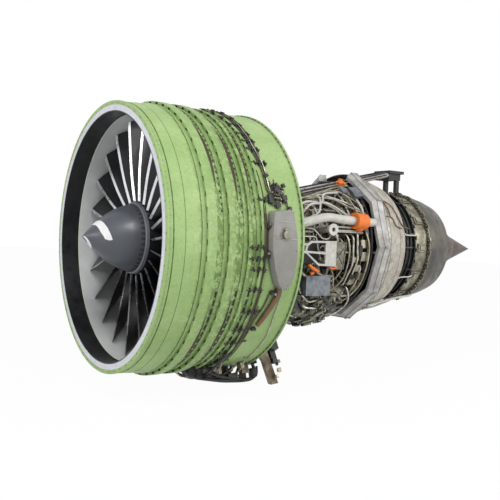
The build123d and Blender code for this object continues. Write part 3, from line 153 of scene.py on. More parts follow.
def pipe(line, r, sides=8):
    """A round pipe on a centreline: each ring lies across the line's direction, spanned by
    the part of a fixed side direction that is square to it and by their cross product. The
    fixed direction is the one the line moves least in. Strips of quads close both ends."""
    line = np.asarray(line, float)
    way = np.gradient(line, axis=0)
    way /= np.linalg.norm(way, axis=1)[:, None]
    side = np.linalg.svd(way, full_matrices=True)[2][-1]
    u = side - (way @ side)[:, None] * way
    u /= np.linalg.norm(u, axis=1)[:, None]
    v = np.cross(way, u)
    a = np.linspace(0, 2 * math.pi, sides, endpoint=False)
    ring = u[:, None] * np.cos(a)[None, :, None] + v[:, None] * np.sin(a)[None, :, None]
    verts = line[:, None] + ring * r
    faces = grid_faces(len(line), sides, close_cols=True)[:, ::-1]
    i = np.arange(sides // 2 - 1)
    cap = np.stack([i, i + 1, sides - 2 - i, sides - 1 - i], -1)
    end = cap[:, ::-1] + (len(line) - 1) * sides
    return verts.reshape(-1, 3), np.concatenate([faces, cap[:, ::-1], end[:, ::-1]])


def winding(points, thick, sides=8, bend=0.06):
    """A pipe whose corners are (x, r, up_deg). They are rounded on a sheet on which the angle
    is unrolled into an arc length at the pipe's mean radius, and the sheet is wrapped back."""
    p = np.asarray(points, float)
    mean = p[:, 1].mean()
    line = route(p * [1, 1, math.radians(mean)], bend)
    run = np.concatenate([[0], np.cumsum(np.linalg.norm(np.diff(line, axis=0), axis=1))])
    spots = np.union1d(run, np.linspace(0, run[-1], max(5, int(run[-1] / 0.06))))
    spots = spots[np.concatenate([[True], np.diff(spots) > 0.0008])]
    x, r, arc = (np.interp(spots, run, line[:, k]) for k in range(3))
    return pipe(polar(x, r, np.degrees(arc / mean)), thick, sides)


def hoop(x, r, thick, low_deg, high_deg):
    """A pipe bent round the engine's axis at x and radius r, from one angle to the other."""
    a = np.linspace(low_deg, high_deg, max(8, int((high_deg - low_deg) / 4)))
    return pipe(polar(x, r, a), thick)


def block(x, r, up_deg, size, turn=0.0):
    """A box of (length along X, depth outwards, width around) that stands on radius r."""
    dx, dr, dw = size
    c = np.array([[i, j, k] for i in (-0.5, 0.5) for j in (0, 1) for k in (-0.5, 0.5)], float)
    t = math.radians(turn)
    along, across = c[:, 0] * dx, c[:, 2] * dw
    px = x + along * math.cos(t) - across * math.sin(t)
    pw = along * math.sin(t) + across * math.cos(t)
    local = np.stack([px, -(r + c[:, 1] * dr), pw], -1)
    verts = swing(local, [-up_deg])[0]
    faces = np.array([[0, 1, 3, 2], [4, 6, 7, 5], [0, 4, 5, 1], [2, 3, 7, 6], [0, 2, 6, 4], [1, 5, 7, 3]])
    return verts, faces[:, ::-1]


def turned(profile, steps, start=0.0, arc=360.0):
    """A surface of revolution: each (x, r) of the profile swept about the engine's axis."""
    p = np.asarray(profile, float)
    full = arc >= 360.0
    a = np.linspace(start, start + arc, steps, endpoint=not full)
    verts = polar(p[:, 0][None, :], p[:, 1][None, :], a[:, None])
    return verts.reshape(-1, 3), grid_faces(len(a), len(p), close_rows=full)


def ring_solid(profile, steps):
    """A closed section of (x, r) corners swept all the way about the engine's axis."""
    p = np.asarray(profile, float)
    a = np.linspace(0, 360, steps, endpoint=False)
    verts = polar(p[:, 0][None, :], p[:, 1][None, :], a[:, None]).reshape(-1, 3)
    return verts, grid_faces(steps, len(p), close_rows=True, close_cols=True)


def evenly(count, first=0.0):
    """Angles evenly spaced all the way round, from the first one."""
    return np.arange(count) * 360.0 / count + first


def bolt_head(x, r, size, height, facing=1.0):
    """A six-sided head on a washer at the -Y side, standing along X from x."""
    a = np.linspace(0, 2 * math.pi, 12, endpoint=False)
    flat = 1 / np.cos((a + math.pi / 6) % (math.pi / 3) - math.pi / 6)
    rows = [(0.0, 1.32, 0), (0.18, 1.32, 0), (0.18, 1.0, 1), (0.9, 1.0, 1), (1.0, 0.86, 1)]
    scale = np.array([[s * (flat[j] if hexed else 1.0) for j in range(12)] for z, s, hexed in rows])
    along = np.array([z for z, s, h in rows])[:, None] * height * facing
    verts = np.stack([np.broadcast_to(x + along, scale.shape), -r + scale * size / 2 * np.cos(a),
                      scale * size / 2 * np.sin(a)], -1).reshape(-1, 3)
    faces = grid_faces(len(rows), 12, close_cols=True)
    i = np.arange(5)
    cap = np.stack([i, i + 1, 10 - i, 11 - i], -1) + 12 * (len(rows) - 1)
    faces = np.concatenate([faces, cap[:, ::-1]])
    return verts, (faces if facing < 0 else faces[:, ::-1])


def stud(x, r, up_deg, size, height):
    """A round-headed fastener that stands outwards from radius r."""
    a = np.linspace(0, 2 * math.pi, 8, endpoint=False)
    rows = np.array([(0.0, 1.0), (0.6, 1.0), (1.0, 0.62)])
    px = x + rows[:, 1][:, None] * size / 2 * np.cos(a)
    pz = rows[:, 1][:, None] * size / 2 * np.sin(a)
    py = -(r + rows[:, 0][:, None] * height) + 0 * px
    verts = np.stack([px, py, pz], -1).reshape(-1, 3)
    faces = grid_faces(3, 8, close_cols=True)
    i = np.arange(3)
    cap = np.stack([i, i + 1, 6 - i, 7 - i], -1) + 16
    return swing(verts, [-up_deg])[0], np.concatenate([faces, cap[:, ::-1]])


def lines_piece(name, rows, thick, finish, bend, sides=8):
    """One piece of several pipes, each with its corners and its own radius."""
    sizes = np.broadcast_to(thick, (len(rows),))
    return piece(name, joined([winding(row, size, sides, bend) for row, size in zip(rows, sizes)]), finish)


def blocks_piece(name, rows, finish, bevel=0.0):
    """One piece of several boxes, each with its x, radius, angle, size and turn."""
    return piece(name, joined([block(*row) for row in rows]), finish, smooth=False, bevel=bevel)


# Finishes

class Finish:
    """A material's nodes, with short calls for what every finish here needs."""

    def __init__(self, name, rough=0.5, metal=0.0, level=0.5, coat=0.0):
        self.material = bpy.data.materials.new(name)
        self.material.use_nodes = True
        self.tree = self.material.node_tree
        self.shader = self.tree.nodes["Principled BSDF"]
        self.put("Roughness", rough)
        self.put("Metallic", metal)
        self.put("Specular IOR Level", level)
        self.put("Coat Weight", coat)
        self.place = self.tree.nodes.new("ShaderNodeTexCoord").outputs["Object"]

    def put(self, socket, value):
        self.shader.inputs[socket].default_value = value

    def link(self, output, socket):
        self.tree.links.new(output, self.shader.inputs[socket])

    def stretched(self, scale):
        node = self.tree.nodes.new("ShaderNodeMapping")
        node.inputs["Scale"].default_value = scale
        self.tree.links.new(self.place, node.inputs["Vector"])
        return node.outputs[0]

    def noise(self, scale, detail=4.0, stretch=None, warp=0.0):
        node = self.tree.nodes.new("ShaderNodeTexNoise")
        node.inputs["Scale"].default_value = scale
        node.inputs["Detail"].default_value = detail
        node.inputs["Roughness"].default_value = 0.6
        node.inputs["Distortion"].default_value = warp
        self.tree.links.new(self.stretched(stretch) if stretch else self.place, node.inputs["Vector"])
        return node.outputs["Fac"]

    def along(self, axis=0):
        node = self.tree.nodes.new("ShaderNodeSeparateXYZ")
        self.tree.links.new(self.place, node.inputs[0])
        return node.outputs[axis]

    def math(self, kind, a, b=0.0):
        node = self.tree.nodes.new("ShaderNodeMath")
        node.operation = kind
        for socket, value in zip(node.inputs, (a, b)):
            if isinstance(value, (int, float)):
                socket.default_value = value
            else:
                self.tree.links.new(value, socket)
        return node.outputs[0]

    def span(self, value, low, high, to_low=0.0, to_high=1.0):
        node = self.tree.nodes.new("ShaderNodeMapRange")
        node.clamp = True
        for socket, v in zip(("From Min", "From Max", "To Min", "To Max"), (low, high, to_low, to_high)):
            node.inputs[socket].default_value = v
        self.tree.links.new(value, node.inputs["Value"])
        return node.outputs[0]

    def ramp(self, value, stops):
        node = self.tree.nodes.new("ShaderNodeValToRGB")
        ramp = node.color_ramp
        while len(ramp.elements) < len(stops):
            ramp.elements.new(0.5)
        for element, (at, colour) in zip(ramp.elements, stops):
            element.position = at
            element.color = (*colour, 1)
        self.tree.links.new(value, node.inputs[0])
        return node.outputs[0]

    def blend(self, share, first, second):
        node = self.tree.nodes.new("ShaderNodeMix")
        node.data_type = "RGBA"
        for socket, value in zip((node.inputs[0], node.inputs[6], node.inputs[7]), (share, first, second)):
            if isinstance(value, (int, float)):
                socket.default_value = value
            elif isinstance(value, tuple):
                socket.default_value = (*value, 1)
            else:
                self.tree.links.new(value, socket)
        return node.outputs[2]

    def crevice(self, reach, low=0.35, high=0.95):
        """How hidden a spot is: 1 in a corner, 0 in the open. It masks the painted shade in corners."""
        node = self.tree.nodes.new("ShaderNodeAmbientOcclusion")
        node.samples = 6
        node.inputs["Distance"].default_value = reach
        return self.span(node.outputs["AO"], low, high, 1.0, 0.0)

    def bump(self, height, strength=0.3, depth=0.002):
        node = self.tree.nodes.new("ShaderNodeBump")
        node.inputs["Strength"].default_value = strength
        node.inputs["Distance"].default_value = depth
        self.tree.links.new(height, node.inputs["Height"])
        self.link(node.outputs[0], "Normal")


def metal_finish(name, dark, mid, light, rough=0.35, metal=0.9, scale=6.0, corner_shade=0.6, reach=0.05,
                 shade_colour=(0.02, 0.018, 0.014)):
    """Bare metal: three tones in soft clouds, streaks in its roughness, and painted shade in its corners
    that is stronger along streaky clouds.
    """
    f = Finish(name, rough, metal)
    cloud = f.noise(scale, 6.0, warp=0.4)
    colour = f.ramp(cloud, [(0.3, dark), (0.5, mid), (0.72, light)])
    if corner_shade:
        # Painted shade: hidden corners are darkened, more strongly along streaky clouds.
        hidden = f.crevice(reach)
        streak = f.span(f.noise(scale * 4, 5.0), 0.35, 0.7)
        shade_share = f.math("MULTIPLY", hidden, f.span(streak, 0, 1, corner_shade * 0.6, corner_shade))
        colour = f.blend(shade_share, colour, shade_colour)
    f.link(colour, "Base Color")
    f.link(f.span(f.noise(scale * 3, 4.0), 0.3, 0.7, rough - 0.1, rough + 0.14), "Roughness")
    f.bump(f.noise(scale * 22, 3.0), 0.25, 0.0012)
    return f.material


def paint_finish(name, colour, shade, rough=0.45, scale=5.0, corner_shade=0.4, reach=0.04):
    """Paint: a faint cloud between two tones, orange-peel bump, and painted shade in its corners."""
    f = Finish(name, rough, 0.0)
    tone = f.blend(f.span(f.noise(scale, 5.0), 0.35, 0.7), colour, shade)
    if corner_shade:
        # Painted shade: hidden corners are darkened toward near black.
        tone = f.blend(f.math("MULTIPLY", f.crevice(reach), corner_shade), tone, (0.025, 0.022, 0.016))
    f.link(tone, "Base Color")
    f.link(f.span(f.noise(scale * 4, 4.0), 0.3, 0.7, rough - 0.08, rough + 0.1), "Roughness")
    f.bump(f.noise(scale * 60, 2.0), 0.12, 0.0006)
    return f.material


PATCHY_LENGTH = 1.24


def green_case_finish(name, patchy):
    """Green primer. On the patchy case, bands that follow one another along its length are
    mottled with dark green and brown by clouds that are cut off sharply: each band is a
    share of the length and how strong the mottling is from there on."""
    f = Finish(name, 0.5, 0.0, 0.4)
    dark_green, mid_green, light_green = (0.262, 0.400, 0.142), (0.318, 0.460, 0.174), (0.392, 0.532, 0.228)
    cloud = f.noise(2.2, 5.0, stretch=(0.6, 1, 1))
    base = f.ramp(cloud, [(0.3, dark_green), (0.5, mid_green), (0.72, light_green)])
    fine = f.span(f.noise(34.0, 7.0), 0.48, 0.70)
    base = f.blend(f.math("MULTIPLY", fine, 0.34), base, (0.18, 0.28, 0.085))
    if patchy:
        place = f.span(f.along(0), 0.0, PATCHY_LENGTH)
        band = [(0.0, 0.05), (0.063, 0.05), (0.066, 0.9), (0.070, 0.05), (0.30, 0.10), (0.325, 0.6),
                (0.345, 0.15),
                (0.476, 0.25), (0.50, 0.85), (0.555, 0.95), (0.575, 0.45), (0.66, 0.35), (0.70, 1.0),
                (0.78, 1.0),
                (0.80, 0.45), (0.865, 0.9), (0.92, 0.95), (0.945, 0.35), (1.0, 0.5)]
        mask = f.ramp(place, [(p, (v, v, v)) for p, v in band])
        blotch = f.span(f.noise(11.0, 3.0, stretch=(1.6, 1, 1), warp=0.6), 0.46, 0.52)
        spots = f.span(f.noise(24.0, 3.0, stretch=(1.2, 1, 1), warp=0.4), 0.52, 0.57)
        olive, moss, earth = (0.075, 0.125, 0.03), (0.14, 0.215, 0.05), (0.10, 0.105, 0.035)
        dark = f.ramp(f.noise(9.0, 3.0), [(0.36, olive), (0.56, moss), (0.72, earth)])
        share = f.math("MULTIPLY", f.math("MAXIMUM", blotch, spots), f.math("MULTIPLY", mask, 0.85))
        base = f.blend(share, base, dark)
    # Painted shade: the green is darkened in corners and recesses, by how hidden each spot is.
    hidden = f.crevice(0.03, 0.3, 0.85)
    base = f.blend(f.math("MULTIPLY", hidden, 0.75), base, (0.035, 0.05, 0.018))
    f.link(base, "Base Color")
    f.link(f.span(f.noise(14.0, 4.0), 0.3, 0.7, 0.42, 0.62), "Roughness")
    f.bump(f.noise(240.0, 2.0), 0.15, 0.0008)
    return f.material


def composite_finish(name):
    """Black composite skin: nearly black with a faint cross weave in its sheen."""
    f = Finish(name, 0.42, 0.0, 0.3, 0.1)
    f.link(f.ramp(f.noise(7.0, 5.0), [(0.35, (0.005, 0.005, 0.006)), (0.7, (0.012, 0.012, 0.014))]),
           "Base Color")
    f.link(f.span(f.noise(60.0, 3.0, stretch=(1, 1, 0.2)), 0.3, 0.7, 0.25, 0.42), "Roughness")
    f.bump(f.noise(900.0, 1.0), 0.08, 0.0004)
    return f.material


def heat_finish(name, near, far, stain, start, end, rough=0.4):
    """Metal that hot gas has tinted: the tone goes from one colour to another along the
    engine, stained blue and brown in clouds stretched round it, with thin soot streaks."""
    f = Finish(name, rough, 0.85)
    share = f.span(f.along(0), start, end)
    tone = f.blend(share, near, far)
    cloud = f.span(f.noise(3.2, 5.0, stretch=(1.6, 1, 1), warp=1.0), 0.42, 0.68)
    tone = f.blend(f.math("MULTIPLY", cloud, 0.65), tone, stain)
    soot = f.span(f.noise(7.0, 6.0, stretch=(0.35, 1.6, 1.6)), 0.52, 0.72)
    tone = f.blend(f.math("MULTIPLY", soot, 0.45), tone, (0.10, 0.085, 0.075))
    # Painted shade: hidden corners are darkened, by how hidden each spot is.
    tone = f.blend(f.math("MULTIPLY", f.crevice(0.05), 0.6), tone, (0.03, 0.027, 0.025))
    f.link(tone, "Base Color")
    f.link(f.span(f.noise(12.0, 4.0), 0.3, 0.7, rough - 0.1, rough + 0.15), "Roughness")
    f.bump(f.noise(160.0, 2.0), 0.12, 0.0008)
    return f.material


GREEN = green_case_finish("green_primer", True)
GREEN_PLAIN = green_case_finish("green_primer_rings", False)
BLACK_BLADE = composite_finish("blade_composite")
GUARD = metal_finish("guard_metal", (0.62, 0.63, 0.65), (0.74, 0.75, 0.77), (0.85, 0.86, 0.88), 0.3, 0.9,
                     4.0, 0.0)
DULL = metal_finish("dull_steel", (0.16, 0.15, 0.105), (0.29, 0.275, 0.205), (0.46, 0.435, 0.34), 0.42, 0.8,
                    7.0, 0.85, 0.10)
CAST = metal_finish("cast_alloy", (0.10, 0.10, 0.07), (0.22, 0.215, 0.165), (0.42, 0.41, 0.33), 0.5, 0.6,
                    10.0, 0.8, 0.08)
PIPE = metal_finish("pipe_steel", (0.24, 0.225, 0.18), (0.48, 0.46, 0.39), (0.70, 0.68, 0.60), 0.33, 0.85,
                    9.0, 0.75, 0.06)
PIPE_TAN = metal_finish("pipe_tan", (0.17, 0.145, 0.10), (0.34, 0.305, 0.22), (0.54, 0.50, 0.39), 0.42, 0.7,
                        9.0, 0.75, 0.06)
ROTOR = metal_finish("machined_metal", (0.34, 0.34, 0.34), (0.46, 0.46, 0.46), (0.56, 0.56, 0.57), 0.3, 0.9,
                     6.0, 0.4)
SHAFT = metal_finish("ground_steel", (0.42, 0.42, 0.43), (0.52, 0.52, 0.53), (0.6, 0.6, 0.61), 0.22, 0.95,
                     8.0, 0.3)
BLACK_STEEL = metal_finish("black_steel", (0.012, 0.012, 0.013), (0.03, 0.03, 0.031), (0.065, 0.062, 0.058),
                           0.42, 0.4, 8.0, 0.5)
BAND = metal_finish("burnt_band", (0.012, 0.012, 0.014), (0.03, 0.029, 0.032), (0.09, 0.085, 0.08), 0.4,
                    0.6, 6.0, 0.7, 0.08)
COWL = metal_finish("cowl_metal", (0.28, 0.25, 0.205), (0.42, 0.385, 0.325), (0.56, 0.525, 0.46), 0.48,
                    0.45, 11.0, 0.6, 0.08, (0.05, 0.04, 0.03))
CREAM = metal_finish("flange_metal", (0.10, 0.092, 0.062), (0.22, 0.205, 0.15), (0.46, 0.43, 0.34), 0.4,
                     0.7, 8.0, 0.8, 0.08)
HOT = metal_finish("hot_metal", (0.24, 0.20, 0.16), (0.36, 0.31, 0.26), (0.48, 0.43, 0.37), 0.4, 0.8, 8.0,
                   0.6)
SLEEVE = heat_finish("exhaust_metal", (0.125, 0.118, 0.095), (0.17, 0.155, 0.135), (0.055, 0.062, 0.065),
                     5.0, 5.56, 0.45)
PLUG = heat_finish("plug_metal", (0.085, 0.066, 0.054), (0.135, 0.102, 0.085), (0.05, 0.037, 0.03), 5.0,
                   6.9, 0.42)
RING = metal_finish("ring_metal", (0.26, 0.25, 0.235), (0.40, 0.39, 0.37), (0.58, 0.57, 0.55), 0.55, 0.35,
                    6.0, 0.6, 0.08)
MOUNT = paint_finish("mount_black", (0.010, 0.010, 0.010), (0.022, 0.021, 0.019), 0.6, 9.0, 0.3)
HOUSING = metal_finish("housing_alloy", (0.035, 0.036, 0.024), (0.16, 0.155, 0.11), (0.42, 0.41, 0.33), 0.5,
                       0.4, 22.0, 0.7, 0.06)
MOUTH = paint_finish("mouth_paint", (0.66, 0.66, 0.72), (0.58, 0.58, 0.64), 0.4, 4.0, 0.3)
LINER = paint_finish("liner_black", (0.0035, 0.0038, 0.0045), (0.011, 0.0115, 0.013), 0.42, 2.6, 0.0)
SHROUD = paint_finish("shroud_grey", (0.54, 0.545, 0.54), (0.64, 0.645, 0.635), 0.6, 3.0, 0.35, 0.1)
DUCT = paint_finish("duct_grey", (0.20, 0.205, 0.21), (0.27, 0.275, 0.28), 0.6, 3.0, 0.4, 0.1)
SPINNER = paint_finish("spinner_paint", (0.058, 0.066, 0.080), (0.080, 0.088, 0.102), 0.36, 2.0, 0.0)
SPIN_RING = paint_finish("spinner_ring_paint", (0.13, 0.135, 0.165), (0.20, 0.21, 0.24), 0.45, 3.0, 0.4)
EDGE_PAINT = paint_finish("edge_paint", (0.62, 0.70, 0.50), (0.54, 0.62, 0.43), 0.5, 4.0, 0.2)
WHITE = paint_finish("white_paint", (0.78, 0.78, 0.77), (0.70, 0.70, 0.68), 0.4, 4.0, 0.35)
FRAME_WHITE = paint_finish("frame_white", (0.56, 0.545, 0.50), (0.40, 0.385, 0.34), 0.5, 12.0, 0.8, 0.05)
PALE = paint_finish("pale_metal_paint", (0.60, 0.585, 0.53), (0.47, 0.455, 0.405), 0.42, 7.0, 0.7, 0.06)
LINK = paint_finish("link_paint", (0.50, 0.485, 0.475), (0.40, 0.385, 0.375), 0.45, 6.0, 0.5)
ORANGE = paint_finish("orange_sleeve", (0.83, 0.20, 0.025), (0.70, 0.15, 0.02), 0.6, 14.0, 0.5)
TANK = paint_finish("tank_grey", (0.265, 0.255, 0.235), (0.215, 0.205, 0.185), 0.5, 4.0, 0.5)
COOLER = metal_finish("cooler_alloy", (0.07, 0.08, 0.09), (0.16, 0.175, 0.19), (0.27, 0.29, 0.31), 0.42,
                      0.6, 8.0, 0.7, 0.05)
UNIT = metal_finish("unit_metal", (0.035, 0.033, 0.022), (0.12, 0.115, 0.085), (0.34, 0.33, 0.27), 0.45,
                    0.5, 12.0, 0.7, 0.06)
CLAMP = paint_finish("clamp_black", (0.022, 0.022, 0.022), (0.04, 0.038, 0.035), 0.5, 20.0, 0.3)
MAST = metal_finish("mast_metal", (0.05, 0.035, 0.02), (0.16, 0.12, 0.08), (0.32, 0.28, 0.20), 0.45, 0.5,
                    7.0, 0.7)
# Painted shade: dark brown for the crescents where the rings' recesses lie in shadow
SLIT_SHADE = paint_finish("slit_shade", (0.030, 0.022, 0.012), (0.085, 0.040, 0.022), 0.6, 9.0, 0.0)
HARNESS = paint_finish("harness_sleeve", (0.085, 0.052, 0.035), (0.05, 0.034, 0.026), 0.6, 18.0, 0.4)
TUBES = paint_finish("harness_tube_paint", (0.13, 0.165, 0.06), (0.075, 0.075, 0.035), 0.55, 6.0, 0.5)
BROWN = paint_finish("brown_duct", (0.20, 0.105, 0.055), (0.13, 0.07, 0.04), 0.5, 10.0, 0.5)
BOLT = metal_finish("bolt_steel", (0.14, 0.14, 0.13), (0.24, 0.23, 0.21), (0.36, 0.35, 0.32), 0.38, 0.8,
                    30.0, 0.4, 0.02)

# The slot named for each finish, which piece() looks up where a piece names none itself
SLOT_OF_FINISH = {
    BLACK_STEEL: "dark_steel", BOLT: "bolt_steel", BROWN: "harness_brown", CAST: "cast_metal",
    CLAMP: "clamp_black", COOLER: "cooler_grey", COWL: "cowl_beige", CREAM: "frame_cream",
    DULL: "core_metal", EDGE_PAINT: "case_green", GREEN_PLAIN: "case_green", HARNESS: "harness_brown",
    HOUSING: "cast_metal", ORANGE: "sleeve_orange", PALE: "pale_metal", PIPE: "pipe_metal",
    PIPE_TAN: "pipe_metal", RING: "pipe_metal", SLEEVE: "sleeve_metal", SLIT_SHADE: "dark_steel",
    WHITE: "mouth_white",
}

NODE_FINISH = {
    "accessory_gearbox": CAST, "aft_mount": MOUNT, "air_manifold": RING, "bearing_outer_rings": SHAFT,
    "blade_edge_guards": GUARD, "blade_platforms": BLACK_BLADE, "bleed_duct": PALE, "booster_rotor": ROTOR,
    "case_bolts": BOLT, "combustor_case": DULL, "combustor_liner": HOT, "compressor_case": DULL,
    "compressor_rotor": ROTOR, "compressor_stators": ROTOR, "cooling_tubes": BLACK_STEEL,
    "drain_mast": MAST, "duct_liners": DUCT, "duct_sleeve": ORANGE, "equipment_frame": FRAME_WHITE,
    "exhaust_plug": PLUG, "exhaust_sleeve": SLEEVE, "fan_blades": BLACK_BLADE, "fan_case_front": GREEN,
    "fan_case_rear": GREEN_PLAIN, "fan_disk": ROTOR, "fan_frame": CAST, "fan_shroud": SHROUD,
    "front_mount": BLACK_STEEL, "fuel_manifold": PIPE, "fuel_pump": CAST, "gearbox_drive_shaft": SHAFT,
    "generator": UNIT, "harness_clamps": CLAMP, "harness_tubes": TUBES,
    "high_pressure_bearing_rollers": SHAFT, "high_pressure_turbine_case": DULL,
    "high_pressure_turbine_rotor": HOT, "lp_bearing_rollers": SHAFT, "lp_shaft": SHAFT,
    "lp_turbine_case": BAND, "lp_turbine_rotor": HOT, "mouth_liner": LINER, "mouth_ring": MOUTH,
    "oil_cap": CAST, "oil_cooler": COOLER, "oil_tank": TANK, "outlet_guide_vanes": CAST,
    "radial_drive_shaft": SHAFT, "service_unit": UNIT, "spinner": SPINNER, "spinner_ring": SPIN_RING,
    "splitter": CAST, "starter": UNIT, "stiffener_rings": GREEN, "thrust_links": LINK,
    "transfer_gearbox": CAST, "turbine_cowl": COWL, "turbine_rear_frame": CREAM, "turbine_stators": HOT,
    "unison_rings": PIPE,
}
for node_name, finish in NODE_FINISH.items():
    for material_slot in frame["nodes"][node_name].material_slots:
        material_slot.material = finish


# Spinner marks
NOSE_X = -0.303
SPINNER_LENGTH = 0.658
SPINNER_R = 0.44
FULLNESS = 0.72
MARK_LIFT = 0.0012


def spinner_surface():
    """The spinner's outer profile, read from its own mesh: the points at its tip, and those
    that lie near the ogive r = R s (1 + F - F s), where s is the share of its length."""
    mesh = frame["nodes"]["spinner"].data
    co = np.empty(len(mesh.vertices) * 3, np.float32)
    mesh.vertices.foreach_get("co", co)
    co = co.reshape(-1, 3)
    x, r = co[:, 0], np.hypot(co[:, 1], co[:, 2])
    share = np.clip((x - NOSE_X) / SPINNER_LENGTH, 0, 1)
    ogive = SPINNER_R * share * (1 + FULLNESS - FULLNESS * share)
    keep = (r > ogive - 0.0035) | (x < NOSE_X + 0.0001)
    order = np.argsort(x[keep])
    return x[keep][order], r[keep][order]


SPIN_X, SPIN_R = spinner_surface()


def spinner_point(r, clock_deg, lift):
    """A point on the spinner at radius r and clock angle (0 at the top, 90 at the -Y side),
    raised off it."""
    x = np.interp(r, SPIN_R, SPIN_X) - lift * 0.5
    a = np.radians(clock_deg)
    return np.stack([x, -(r + lift) * np.sin(a), (r + lift) * np.cos(a)], -1)


def swirl():
    """The white swirl: its middle radius and its half width follow its clock angle in straight
    steps between a few angles, and it closes at the blunt end."""
    turns = [66, 118, 150, 184, 250, 355, 406, 430, 458]
    clock = np.linspace(turns[0], turns[-1], 180)[:, None]
    s = np.linspace(-1, 1, 15)[None, :]
    middle = np.interp(clock, turns, [0.005, 0.043, 0.083, 0.118, 0.146, 0.172, 0.197, 0.214, 0.248])
    half = np.interp(clock, turns, [0.003, 0.019, 0.026, 0.028, 0.028, 0.028, 0.031, 0.034, 0.029])
    r = middle + half * np.clip((turns[-1] - clock) / 2.5, 0, 1) ** 0.5 * s
    return spinner_point(r, clock + 0 * s, MARK_LIFT).reshape(-1, 3), grid_faces(180, 15)[:, ::-1]


piece("spinner_swirl", swirl(), WHITE, LOW_SPOOL)

tooth_x = [0.302, 0.328, 0.349]
low_r, high_r = np.interp([tooth_x[0], tooth_x[-1]], SPIN_X, SPIN_R)
tooth_r = [low_r + MARK_LIFT, (low_r + high_r) / 2 + 0.005, high_r + MARK_LIFT]
tooth = turned(list(zip(tooth_x, tooth_r)), 4, -2.1, 4.2)
piece("spinner_studs", round_about(tooth, evenly(40)), CLAMP, LOW_SPOOL)


# Fan case hardware, on the rear case's skin
SKIN_R = 1.728
parts = [round_about(bolt_head(0.026, 1.7055, 0.0115, 0.011), evenly(150)),
         round_about(bolt_head(0.0, 1.680, 0.012, -0.006), evenly(60, 3.0)),
         round_about(bolt_head(1.804, 1.738, 0.013, 0.012, -1.0), evenly(120))]
piece("front_flange_bolts", joined(parts), BOLT)
edge = ring_solid([(0.2405, 1.5764), (0.2462, 1.5735), (0.2518, 1.5672), (0.2518, 1.5725),
                   (0.2462, 1.5775)], 220)
piece("liner_edge", edge, EDGE_PAINT)

dots = [round_about(stud(x, SKIN_R - 0.004, 0.0, 0.011, 0.007), evenly(n))
        for x, n in ((1.262, 150), (1.395, 120), (1.70, 120), (1.775, 150))]
piece("case_rivets", joined(dots), GREEN_PLAIN)


def harness_bracket(x, up_deg):
    """The boxes of a black clip: a thin bar along the engine with short bars across it."""
    return [(x - 0.045, SKIN_R + 0.022, up_deg, (0.235, 0.010, 0.012)),
            (x - 0.110, SKIN_R + 0.001, up_deg, (0.012, 0.034, 0.050), 24),
            (x - 0.040, SKIN_R + 0.001, up_deg, (0.012, 0.040, 0.074), -18),
            (x + 0.035, SKIN_R + 0.001, up_deg, (0.014, 0.040, 0.066), 14)]


spots = [(1.318, 50.0), (1.325, 45.2), (1.332, 40.5), (1.359, 33.6), (1.318, 17.3), (1.235, -9.8),
         (1.231, -17.9), (1.236, -27.5), (1.215, -36.5), (1.207, -44.2), (1.305, 57.0), (1.300, 64.0),
         (1.295, 72.0), (1.29, 80.0), (1.215, -52.0), (1.215, -60.0), (1.19, -1.3), (1.20, -5.6),
         (1.29, 104.0), (1.29, 118.0), (1.29, 132.0), (1.29, 172.0), (1.29, 190.0)]
blocks_piece("harness_brackets", [bar for x, a in spots for bar in harness_bracket(x, a)], CLAMP, 0.002)

# Wiring and lines beside the tank: they lie on the skin or cross over what lies there
ON, OVER = SKIN_R + 0.014, SKIN_R + 0.034
lines = [[(1.290, ON, 74), (1.290, ON, 40), (1.330, ON, 30), (1.330, ON, 21), (1.400, OVER, 19),
          (1.470, OVER, 18)],
         [(1.345, ON, 60), (1.345, ON, 36), (1.372, ON, 31), (1.372, ON, 24), (1.430, OVER, 20)],
         [(1.245, ON, 30), (1.262, ON, 20), (1.235, ON, 5), (1.230, ON, -12), (1.205, ON, -40),
          (1.205, ON, -66)],
         [(1.262, OVER, 15), (1.250, OVER, 2), (1.262, OVER, -10), (1.235, OVER, -22), (1.235, OVER, -46)],
         [(1.275, ON, 12), (1.285, ON, 6), (1.270, ON, -6), (1.262, ON, -30), (1.240, ON, -52)],
         [(1.500, OVER, 17), (1.560, OVER, 20), (1.600, ON, 17), (1.600, ON, 8)],
         [(1.420, ON, -19), (1.380, ON, -26), (1.330, ON, -30), (1.280, ON, -44), (1.280, ON, -60)],
         [(1.440, OVER, 26), (1.440, OVER, 19), (1.400, OVER, 15)]]
lines_piece("case_wiring", lines, 0.0075, HARNESS, 0.05, 6)
lines = [[(1.310, OVER, 58), (1.310, OVER, 42), (1.352, OVER, 33), (1.352, OVER, 22), (1.390, OVER, 19)],
         [(1.225, ON, 22), (1.215, ON, 4), (1.225, ON, -14), (1.195, ON, -38)],
         [(1.590, ON, -18), (1.590, ON, -30), (1.640, ON, -42), (1.640, ON, -70)]]
lines_piece("case_lines_steel", lines, 0.006, PIPE, 0.05, 6)
duct = [(1.520, OVER, -17.0), (1.520, OVER + 0.01, -20.5), (1.430, OVER, -30.0), (1.400, ON, -34.5)]
piece("tank_drain_duct", winding(duct, 0.030, 12, 0.07), BROWN)

